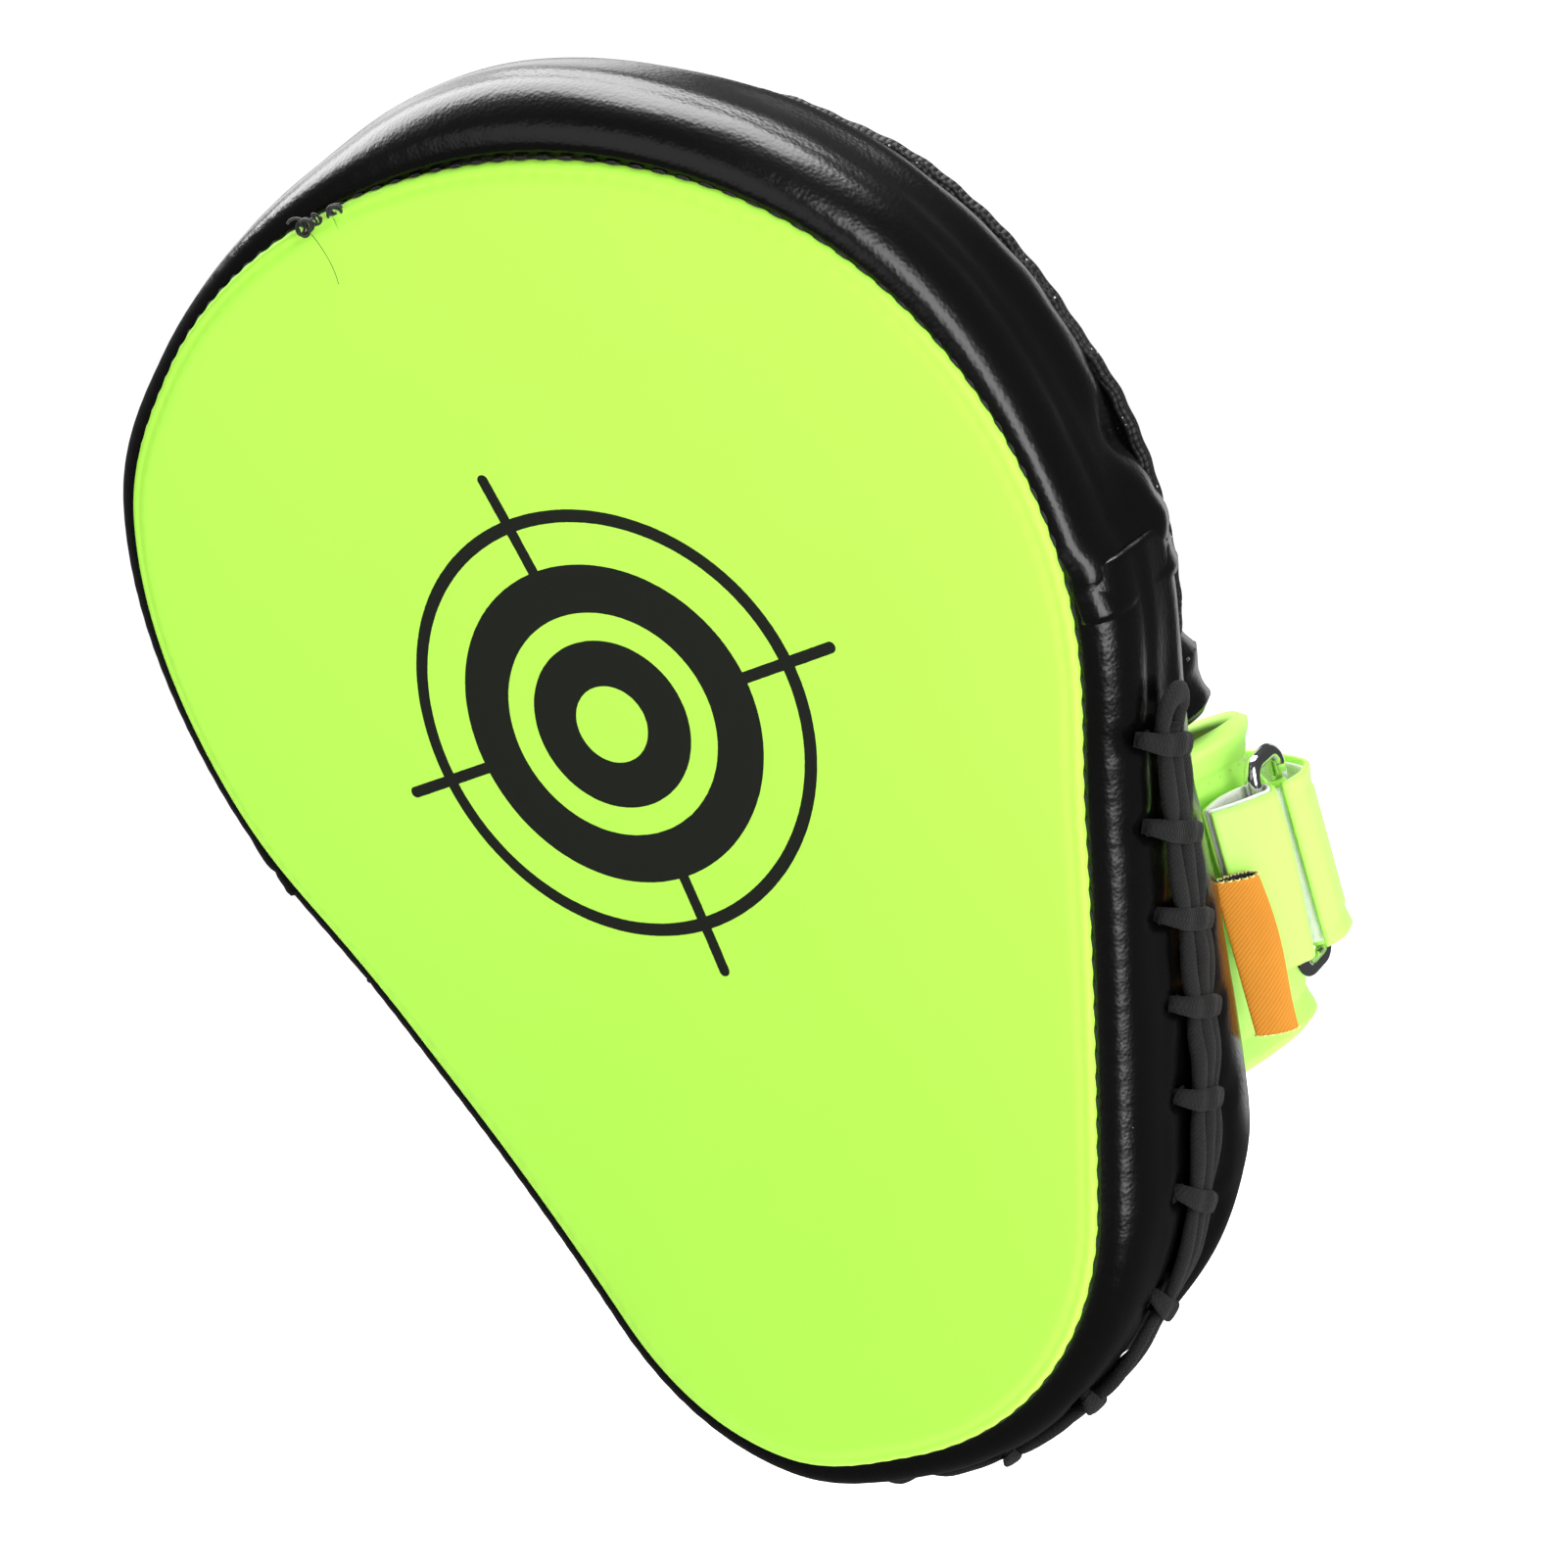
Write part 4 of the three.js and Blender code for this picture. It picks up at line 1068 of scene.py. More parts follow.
@dataclass
class Lacing:
    """A doubled lace and a runner round the wrist end, bound down by short flat ties."""

    pad: PadShape
    wardrobe: Wardrobe
    start_z: float = -30.0
    spread: float = 3.7
    half_width: float = 2.0
    half_height: float = 1.15
    bight: float = 4.2
    per_side: int = 9
    first_tie_z: float = -34.0
    tie_half_width: float = 2.0
    tie_front: float = 8.6
    tie_rear: float = 8.0
    tie_lift: float = 3.0
    slant: float = 8.5
    slit_shift: float = 4.0

    def depth_at(self, at: Grid) -> Grid:
        """How deep behind the seam the middle strand runs."""
        z = self.pad.seam(at)[0][..., 1]
        return 16.7 + 11.3 * (1 - smooth(z, -95, -25)) - 8 * (1 - smooth(z, -138, -118))

    @cached_property
    def tie_places(self) -> list[float]:
        """Where the right-hand ties cross the lace, as fractions of the seam."""
        first = self.pad.seam_at(self.first_tie_z)
        pitch = (0.5 - first) / (self.per_side - 0.5)
        return [first + turn * pitch for turn in range(self.per_side)]

    def all_ties(self) -> list[float]:
        """Where all the ties cross, on both sides."""
        return self.tie_places + [1 - at for at in self.tie_places]

    def pinch(self, at: Grid, reach: float = 3.6) -> Grid:
        """How hard the ties hold the strands together, 0 to 1."""
        total = np.zeros_like(at)
        for tie in self.all_ties():
            total = total + np.exp(-((at - tie) * self.pad.seam_length / reach) ** 2)
        return np.clip(total, 0, 1)

    def lay(self, at: Grid, shift: Grid, out: Grid) -> Grid:
        """Points on the lace band at a shift in depth and a stand-off."""
        return self.pad.beside(at, out, self.depth_at(at) + shift)

    def outward(self, at: Grid) -> Grid:
        """The wall's outward directions."""
        normal = self.pad.seam(at)[1]
        return np.stack([normal[..., 0], np.zeros(normal.shape[:-1]), normal[..., 1]], axis=-1)

    def leg(self, sign: int, start: float, end: float, steps: int, seed: float) -> tuple[Grid, Grid, Grid]:
        """One strand between two places on the seam: its places, shifts and stand-offs."""
        at = np.linspace(start, end, steps)
        drift = np.stack([at * self.pad.seam_length, np.full(steps, seed), np.zeros(steps)], axis=1)
        shift = sign * self.spread * (1 - 0.24 * self.pinch(at)) + 0.35 * ripple(drift, 9, seed)
        out = (self.pad.bulge + 1.25 + 0.45 * (1 - self.pinch(at, 5.0))
               + 0.3 * ripple(drift, 7, seed + 5))
        return at, shift, out

    def turn(self, end: float, way: int) -> tuple[Grid, Grid, Grid]:
        """The bight beyond one end: its places, shifts and stand-offs."""
        angle = np.linspace(0, np.pi, 16)[1:-1]
        at = end + way * self.bight * np.sin(angle) / self.pad.seam_length
        shift = -way * self.spread * np.cos(angle) * (1 + 0.35 * np.sin(angle))
        return at, shift, np.full(len(at), self.pad.bulge + 1.5) + 0.5 * np.sin(angle)

    def make_loop(self) -> bpy.types.Object:
        """Makes the doubled lace, two legs and two bights in one closed loop."""
        start, steps = self.pad.seam_at(self.start_z), 260
        runs = [self.leg(-1, start, 1 - start, steps, 1.3), self.turn(1 - start, 1),
                self.leg(1, 1 - start, start, steps, 4.1), self.turn(start, -1)]
        at, shift, out = (np.concatenate([run[part] for run in runs]) for part in range(3))
        path = self.lay(at, shift, out)
        path = np.concatenate([path, path[:1]])
        up = self.outward(np.append(at, at[0]))
        held = np.append(self.pinch(at), self.pinch(at[:1]))
        patch = sweep(path, up, self.half_width * (1 - 0.2 * held),
                      self.half_height * (1 - 0.15 * held), closed=True, square=0.85)
        return build_piece("lace_doubled", [patch], self.wardrobe.lace.material())

    def make_runner(self) -> bpy.types.Object:
        """Makes the single strand between the two legs."""
        start = self.pad.seam_at(self.start_z) + self.spread * 0.3 / self.pad.seam_length
        at, shift, out = self.leg(0, start, 1 - start, 260, 7.7)
        held = self.pinch(at)
        patch = sweep(self.lay(at, shift, out + 0.35), self.outward(at), 2.0 * (1 - 0.15 * held),
                      self.half_height * (1 - 0.1 * held), square=0.85)
        return build_piece("lace_single", [patch], self.wardrobe.lace.material())

    def make_ties(self, side: Side) -> bpy.types.Object:
        """Makes the flat turns of lace that cross the strands on one side."""
        chance = random.Random(20 + side.value)
        patches = []
        for place_on in self.tie_places:
            tie = place_on if side is Side.RIGHT else 1 - place_on
            slant = (self.slant + chance.uniform(-1.2, 1.2)) * side.value
            share = np.linspace(0, 1, 30)
            shift = -self.tie_front + (self.tie_front + self.tie_rear) * share
            hump = np.clip(np.sin(np.pi * share), 0, 1) ** 0.34
            out = self.pad.bulge - 1.6 + (self.tie_lift + 1.5) * hump
            out = out + 0.25 * np.cos(6 * np.pi * (share - 0.5)) * np.sin(np.pi * share)
            at = tie + (slant * (share - 0.5) + 0.3 * np.sin(7 * share)) / self.pad.seam_length
            width = self.tie_half_width * (0.62 + 0.38 * np.sin(np.pi * share) ** 0.5)
            patches.append(sweep(self.lay(at, shift, out), self.outward(at), width,
                                 0.75 + 0.1 * np.cos(9 * share), square=0.75))
        return build_piece(f"lace_ties_{side.word}", patches, self.wardrobe.lace.material())

    def make_slit_shade(self, side: Side) -> bpy.types.Object:
        """Makes dark sheets of painted shade in the slits of the wall that the ties go into, on one side.
        """
        patches = []
        for place_on in self.tie_places:
            tie = place_on if side is Side.RIGHT else 1 - place_on
            for shift in (-self.tie_front + 0.6, self.tie_rear - 0.6):
                ring = np.linspace(0, 2 * np.pi, 19)
                reach = np.array([0.0, 0.5, 1.0])[:, None]
                at = tie + reach * 1.1 * np.sin(ring) * side.value / self.pad.seam_length
                away = shift + reach * 2.6 * np.cos(ring)
                at = at + self.slit_shift * np.sign(shift) * side.value / self.pad.seam_length
                out = self.pad.bulge - 0.55 + 0.35 * reach + 0 * at
                patches.append(Patch(self.lay(at, away, out)))
        # The slits are not cut; a dark sheet over each one is painted shade for its inside.
        return build_piece(f"lace_slit_shade_{side.word}", patches, self.wardrobe.slit.material())

    def build(self) -> None:
        """Makes, dresses and places the lacing."""
        place(self.make_loop(), Body.MITT, Slot.LACE_COTTON, ["lace_loop"])
        place(self.make_runner(), Body.MITT, Slot.LACE_COTTON, ["lace_runner"])
        for side in Side:
            names = [f"lace_tie_{side.word}_{turn + 1:02d}" for turn in range(self.per_side)]
            place(self.make_ties(side), Body.MITT, Slot.LACE_COTTON, names)
            place(self.make_slit_shade(side), Body.MITT, Slot.BLACK_PU)


# ---------------------------------------------------------------- side wall and binding


class WallPart(Enum):
    """The two lengths of side wall."""

    UPPER = "upper"
    LOWER = "lower"


@dataclass
class SideWall:
    """One length of the glossy black wall, rolled at the front seam and drawn in at the rear."""

    pad: PadShape
    lacing: Lacing
    wardrobe: Wardrobe
    part: WallPart
    sheet: float = 1.2
    lap_z: float = -7.0
    lap: float = 8.0
    stand_off: float = 1.7
    hem: float = 5.0
    lip: tuple[tuple[float, float], ...] = (
        (-0.9, 4.8), (-0.95, 3.8), (-0.5, 3.1), (0.4, 2.75), (1.5, 2.9), (2.6, 3.4), (3.6, 4.2),
        (4.5, 5.3), (5.3, 6.7), (5.9, 8.3), (6.35, 10.1))

    @property
    def reach(self) -> float:
        """How far from the crown the upper wall ends, as a fraction of the seam."""
        return self.pad.seam_at(self.lap_z) + self.lap / self.pad.seam_length / 2

    def span(self) -> Grid:
        """The fractions of the seam where the wall's rows stand."""
        start = self.reach - self.lap / self.pad.seam_length
        if self.part is WallPart.UPPER:
            return np.linspace(-self.reach, self.reach, 330)
        return np.linspace(start, 1 - start, 360)

    def section(self, at: Grid) -> tuple[Grid, Grid, Grid]:
        """The wall's section at each row: offsets, depths and fractions of the depth."""
        full = self.pad.pad_depth_along(at)[:, None]
        lip_out = np.array([out for out, _ in self.lip])[None, :]
        lip_deep = np.array([deep for _, deep in self.lip])[None, :] * np.ones_like(full)
        share = np.linspace(0, 1, 30)[None, :]
        deep = 12.0 + (full - 12.0) * share
        fraction = deep / full
        out = np.where(fraction < 0.5, self.pad.bulge, self.pad.wall_offset(fraction))
        out = out - 0.6 * (1 - smooth(deep, 12.0, 17.0))
        offsets = np.concatenate([lip_out * np.ones_like(full), out], axis=1)
        depths = np.concatenate([lip_deep, deep], axis=1)
        offsets = offsets + self.pad.left_side(at)[:, None] * (1 - smooth(depths, 9.0, 22.0))
        return offsets, depths, depths / full

    def relief(self, at: Grid, depths: Grid, fraction: Grid, base: Grid) -> Grid:
        """How far folds, puckers and pulls lift or sink the wall.

        Args:
            at: Fractions of the seam's length.
            depths: How far behind the seam each point is.
            fraction: The same as a fraction of the pad's depth.
            base: The points before relief.

        Returns:
            How far out each point moves.
        """
        along = at * self.pad.seam_length
        beat = 0.5 + 0.5 * np.cos(2 * np.pi * along / 4.0)
        amount = -0.12 * beat * np.exp(-((depths - 3.2) / 1.6) ** 2)
        body = smooth(depths, 5.0, 11.0)
        amount = amount + body * (0.5 * ripple(base, 36, 2.0) + 0.16 * ripple(base, 13, 6.0))
        edge = smooth(fraction, 0.78, 1.0)
        amount = amount + edge * 0.45 * ripple(base, 8, 9.0)
        if self.part is WallPart.UPPER:
            return amount + self.upper_folds(at, fraction) + self.upper_fullness(at, fraction)
        return amount + self.lower_pulls(at, depths) + self.wrist_fullness(at, fraction)

    def upper_fullness(self, at: Grid, fraction: Grid) -> Grid:
        """The padding's fullness: most over the crown, less on both shoulders."""
        middle = np.sin(np.pi * np.clip(fraction, 0, 1)) ** 0.8
        crown = 4.6 * np.exp(-((at - 0.05) / 0.05) ** 2)
        left = -3.2 * np.exp(-((at + 0.065) / 0.05) ** 2)
        right = -3.4 * np.exp(-((at - 0.215) / 0.055) ** 2)
        return middle * (crown + left + right)

    def wrist_fullness(self, at: Grid, fraction: Grid) -> Grid:
        """The padding's fullness behind the lacing at the wrist's corners."""
        behind = smooth(fraction, 0.52, 0.7) * (1 - 0.6 * smooth(fraction, 0.88, 1.0))
        return 4.0 * behind * np.exp(-((np.minimum(at, 1 - at) - 0.415) / 0.045) ** 2)

    def upper_folds(self, at: Grid, fraction: Grid) -> Grid:
        """The stand-off over the lower wall, the sewn hem, and the pull beside it."""
        length = self.pad.seam_length
        inside = (self.reach - np.abs(at)) * length
        side = np.where(at > 0, 1.0, 0.35)
        amount = side * self.stand_off * (1 - smooth(inside, self.lap, self.lap * 1.6))
        amount = amount - 0.5 * np.exp(-((inside - self.hem) / 0.8) ** 2)
        amount = amount + 0.5 * np.exp(-((inside - 0.8) / 1.0) ** 2)
        dent = np.exp(-((inside - 23) / 6.0) ** 2 - ((fraction - 0.86) / 0.16) ** 2)
        swell = np.exp(-((inside - 12) / 6.0) ** 2 - ((fraction - 0.8) / 0.22) ** 2)
        shallow = np.exp(-((inside - 70) / 40.0) ** 2 - ((fraction - 0.6) / 0.18) ** 2)
        return amount + side * (1.5 * swell - 1.9 * dent - 0.9 * shallow)

    def lower_pulls(self, at: Grid, depths: Grid) -> Grid:
        """The trough under the lace, and the dimples where its ties go in."""
        length = self.pad.seam_length
        lace = self.lacing.depth_at(at)
        on = smooth(np.minimum(at, 1 - at), self.reach - 0.02, self.reach + 0.03)
        amount = -0.7 * on * np.exp(-((depths - lace) / 6.5) ** 4)
        for tie in self.lacing.all_ties():
            way = 1.0 if tie < 0.5 else -1.0
            for shift in (-self.lacing.tie_front + 0.6, self.lacing.tie_rear - 0.6):
                beside = (at - tie) * length - self.lacing.slit_shift * np.sign(shift) * way
                away = depths - lace - shift
                amount = amount - 1.0 * np.exp(-(beside / 2.4) ** 2 - (away / 3.4) ** 2)
                crease = np.exp(-(beside / 1.4) ** 2 - ((away + np.sign(-shift) * -5) / 5.0) ** 2)
                amount = amount - 0.25 * crease
        return amount

    def surface(self, rows: Grid) -> Grid:
        """The middle of the wall's sheet at fractions of the seam, as a grid of points."""
        offsets, depths, fraction = self.section(rows)
        at = rows[:, None] * np.ones_like(depths)
        base = self.pad.beside(at, offsets, depths)
        lifted = offsets - self.sheet / 2 + self.relief(at, depths, fraction, base)
        return self.pad.beside(at, lifted, depths)

    def make_hem_stitches(self) -> bpy.types.Object:
        """Makes the stitch rows that hold the upper wall's hems down on both sides."""
        patches = []
        line = self.hem / self.pad.seam_length
        for side in Side:
            at = side.value * (self.reach - line)
            path = self.surface(np.array([at]))[0, 4:-2]
            normal = self.pad.seam(np.array(at))[1]
            up = np.broadcast_to(np.array([normal[0], 0.0, normal[1]]), path.shape)
            sewing = Stitching(pitch=3.1, length=2.3, thread=0.26, proud=0.1)
            patches += sewing.row(path + up * self.sheet / 2, up)
        return build_piece("hem_stitches", patches, self.wardrobe.thread_black.material())

    def build(self) -> None:
        """Makes, dresses and places the wall."""
        wall = build_piece(f"wall_{self.part.value}", [shell(self.surface(self.span()), self.sheet)],
                           self.wardrobe.black.material())
        place(wall, Body.MITT, Slot.BLACK_PU, [f"side_wall_{self.part.value}"])
        if self.part is WallPart.UPPER:
            place(self.make_hem_stitches(), Body.MITT, Slot.BLACK_PU)


@dataclass
class EdgeBinding:
    """The coarse tape folded over the rear seam, proud of the wall round the fingertip end."""

    pad: PadShape
    wardrobe: Wardrobe
    section: tuple[tuple[float, float], ...] = (
        (-4.4, 3.0), (-2.4, 3.5), (0.0, 3.6), (1.8, 3.4), (3.2, 3.0), (3.9, 2.2), (3.9, 1.2),
        (3.3, 0.6), (2.5, 0.7))

    def build(self) -> None:
        """Makes, dresses and places the binding."""
        at = np.linspace(0.5, 1.505, 721)
        z = self.pad.seam(at)[0][:, 1]
        full = self.pad.pad_depth_along(at)[:, None]
        out = np.array([offset for offset, _ in self.section])[None, :]
        deep = np.array([depth for _, depth in self.section])[None, :]
        proud = smooth(z, -34, -18)[:, None]
        drawn = np.where(out > 0, out * (0.3 + 0.7 * proud), out)
        deep = deep * (0.55 + 0.45 * proud)
        base = self.pad.beside(at[:, None], drawn, full + deep)
        wave = 0.4 * ripple(base, 11, 4.0) * proud + 0.12 * np.sin(at[:, None] * 720)
        points = self.pad.beside(at[:, None], drawn + np.where(out > 2, wave, 0), full + deep)
        tape = build_piece("rear_binding", [shell(points, 0.7)], self.wardrobe.binding.material())
        place(tape, Body.MITT, Slot.BINDING_TAPE, ["edge_binding"])


# ---------------------------------------------------------------- palm side


def lay_weave(piece: bpy.types.Object) -> None:
    """Gives a remeshed piece its weave coordinates again, from its x and z."""
    mesh = piece.data
    layer = mesh.uv_layers.get("weave") or mesh.uv_layers.new(name="weave")
    for loop in mesh.loops:
        spot = mesh.vertices[loop.vertex_index].co
        layer.data[loop.index].uv = (spot.x, spot.z)


def inflate(piece: bpy.types.Object, voxel: float, cap: float) -> None:
    """Fills a closed skin by cloth simulation, and applies the result.

    Args:
        piece: The skin, a little smaller than the filled piece.
        voxel: The size of the simulated mesh's cells.
        cap: How far a point may move.
    """
    scene = bpy.context.scene
    mesh = piece.data
    remesh = piece.modifiers.new("cells", "REMESH")
    remesh.mode, remesh.voxel_size = "VOXEL", voxel * MM
    bpy.context.view_layer.update()
    cells = bpy.data.meshes.new_from_object(piece.evaluated_get(bpy.context.evaluated_depsgraph_get()))
    piece.modifiers.remove(remesh)
    piece.data = cells
    rest = [vertex.co.copy() for vertex in cells.vertices]
    cloth = piece.modifiers.new("filling", "CLOTH")
    cloth.settings.use_pressure = True
    cloth.settings.uniform_pressure_force = 4.0
    cloth.settings.effector_weights.gravity = 0.0
    for step in range(1, 21):
        scene.frame_set(step)
    filled = bpy.data.meshes.new_from_object(piece.evaluated_get(bpy.context.evaluated_depsgraph_get()))
    piece.modifiers.remove(cloth)
    scene.frame_set(1)
    for vertex, start in zip(filled.vertices, rest):
        move = vertex.co - start
        if move.length > cap * MM:
            vertex.co = start + move.normalized() * cap * MM
    shape = bmesh.new()
    shape.from_mesh(filled)
    bmesh.ops.smooth_vert(shape, verts=shape.verts, factor=0.5, use_axis_x=True, use_axis_y=True,
                          use_axis_z=True)
    bmesh.ops.subdivide_edges(shape, edges=shape.edges, cuts=1, use_grid_fill=True, smooth=1.0)
    shape.to_mesh(filled)
    shape.free()
    filled.polygons.foreach_set("use_smooth", [True] * len(filled.polygons))
    if not filled.materials:
        filled.materials.append(mesh.materials[0])
    piece.data = filled
    lay_weave(piece)


@dataclass
class BackPanel:
    """The nylon panel sewn over the palm side of the pad."""

    pad: PadShape
    wardrobe: Wardrobe
    thick: float = 1.1

    def build(self) -> None:
        """Makes, dresses and places the panel."""
        at = np.linspace(0, 1, 361)
        point, _ = self.pad.seam(at)
        middle = np.array([0.0, self.pad.centre_z])
        share = np.linspace(0.003, 1.012, 30)
        spot = middle + (point - middle)[:, None] * share[None, :, None]
        x, z = spot[..., 0], spot[..., 1]
        beat = np.cos(2 * np.pi * at * self.pad.seam_length / 9.0)[:, None]
        pull = 0.35 * beat * smooth(share, 0.9, 1.0)[None, :]
        depth = self.pad.depth_at(z) + self.pad.panel / 2 + pull * 0.6
        points = self.pad.in_pad(x, z, depth)
        points[..., 1] += 0.35 * ripple(points, 34, 8.0) * (1 - share ** 3)
        weave = np.stack([x, z], axis=-1)
        patch = shell(points, self.thick)
        ends = np.concatenate([weave[:, :1], weave, weave[:, -1:], weave[:, ::-1], weave[:, :1]], axis=1)
        patch.weave = np.concatenate([ends[:1], ends, ends[-1:]])
        panel = build_piece("palm_panel", [patch], self.wardrobe.panel.material())
        place(panel, Body.MITT, Slot.PANEL_FABRIC, ["back_panel"])


@dataclass
class PalmGrip:
    """The padded ridge that the fingers close on."""

    pad: PadShape
    wardrobe: Wardrobe
    half_x: float = 32.0
    half_z: float = 10.5
    height: float = 9.5
    centre_z: float = 8.0

    def build(self) -> None:
        """Makes the ridge, fills it by simulation, and places it."""
        turn = np.linspace(0, 2 * np.pi, 61)[:, None]
        rise = np.linspace(0, np.pi / 2, 14)[None, :]
        x = self.half_x * np.cos(turn) * np.cos(rise) ** 0.7
        z = self.centre_z + self.half_z * np.sin(turn) * np.cos(rise) ** 0.7
        lift = self.height * np.sin(rise) * np.ones_like(turn)
        low = self.pad.place(x[:, :1] * 0, self.pad.rear_y(z[:, :1]) + 0.4, self.centre_z + 0 * z[:, :1])
        skin = self.pad.place(x, self.pad.rear_y(z) + 0.4 + lift, z)
        grip = build_piece("finger_grip", [Patch(np.concatenate([low, skin], axis=1))],
                           self.wardrobe.lining.material())
        inflate(grip, voxel=3.5, cap=3.0)
        place(grip, Body.MITT, Slot.CUFF_LINING, ["palm_grip"])


@dataclass
class HandCover:
    """The padded black cover arched over the fingers, open towards the wrist."""

    pad: PadShape
    wardrobe: Wardrobe
    mouth_z: float = -42.0
    length: float = 125.0
    half_width: float = 69.0
    height: float = 40.0
    bulge: float = 7.0
    thick: float = 5.0
    channels: tuple[float, ...] = (-0.5, -0.17, 0.17, 0.5)

    def path_at(self, z: float) -> Grid:
        """The cover's section at a height, from its right foot to its left."""
        reach = min((z - self.mouth_z) / self.length, 0.985)
        arch = Arch(self.half_width * math.sqrt(1 - reach ** 3), self.bulge * (1 - reach ** 2) ** 2,
                    self.height * (1 - reach ** 2) ** 0.75, 0.55)
        right = arch.points(np.linspace(0, 1, 34))
        return np.concatenate([right, (right * (-1, 1))[::-1][1:]])

    def surface(self) -> Grid:
        """The cover's middle sheet, swollen between its sewn channels."""
        heights = np.linspace(self.mouth_z, self.mouth_z + 0.97 * self.length, 80)
        base = arched(self.pad, heights, self.path_at, lift=-1.2)
        columns = base.shape[1]
        across = np.linspace(-1, 1, columns)[None, :]
        along = np.linspace(0, 1, len(heights))[:, None]
        near = np.full((len(heights), columns), 1.0)
        for line in self.channels:
            bend = line * (1 - 0.25 * along)
            near = np.minimum(near, np.abs(across - bend) / 0.055)
        puff = 1.5 * (1 - (1 - np.clip(near, 0, 1)) ** 2) - 1.5
        hem = -1.2 * np.exp(-((along - 0.075) / 0.012) ** 2) + 0.6 * np.exp(-((along - 0.02) / 0.03) ** 2)
        edge = smooth(1 - np.abs(across), 0, 0.06)
        folds = 0.9 * ripple(base, 30, 11.0) + 0.35 * ripple(base, 12, 13.0)
        return base + sheet_normals(base) * ((puff + hem) * edge + folds * edge)[..., None]

    def make_seams(self, surface: Grid) -> bpy.types.Object:
        """Makes the stitch rows along the channels and the mouth's hem."""
        normal = sheet_normals(surface)
        if normal[40, normal.shape[1] // 2, 1] < 0:
            normal = -normal
        rows = np.arange(len(surface))
        columns = surface.shape[1]
        patches = []
        sewing = Stitching(pitch=4.2, length=3.0, thread=0.32, proud=self.thick / 2 - 0.1)
        for line in self.channels:
            bend = line * (1 - 0.25 * rows / (len(rows) - 1))
            column = np.clip(np.round((bend + 1) / 2 * (columns - 1)).astype(int), 0, columns - 1)
            patches += sewing.row(surface[rows, column][6:-3], normal[rows, column][6:-3])
        patches += sewing.row(surface[6, 2:-2], normal[6, 2:-2])
        return build_piece("cover_stitches", patches, self.wardrobe.thread_black.material())

    def build(self) -> None:
        """Makes, dresses and places the cover."""
        surface = self.surface()
        across = np.linspace(-1, 1, surface.shape[1])
        thick = self.thick * (0.35 + 0.65 * smooth(1 - np.abs(across), 0, 0.08))
        cover = build_piece("padded_cover", [shell(surface, thick[None, :])],
                            self.wardrobe.black.material())
        place(cover, Body.MITT, Slot.BLACK_PU, ["hand_cover"])
        place(self.make_seams(surface), Body.MITT, Slot.BLACK_PU)


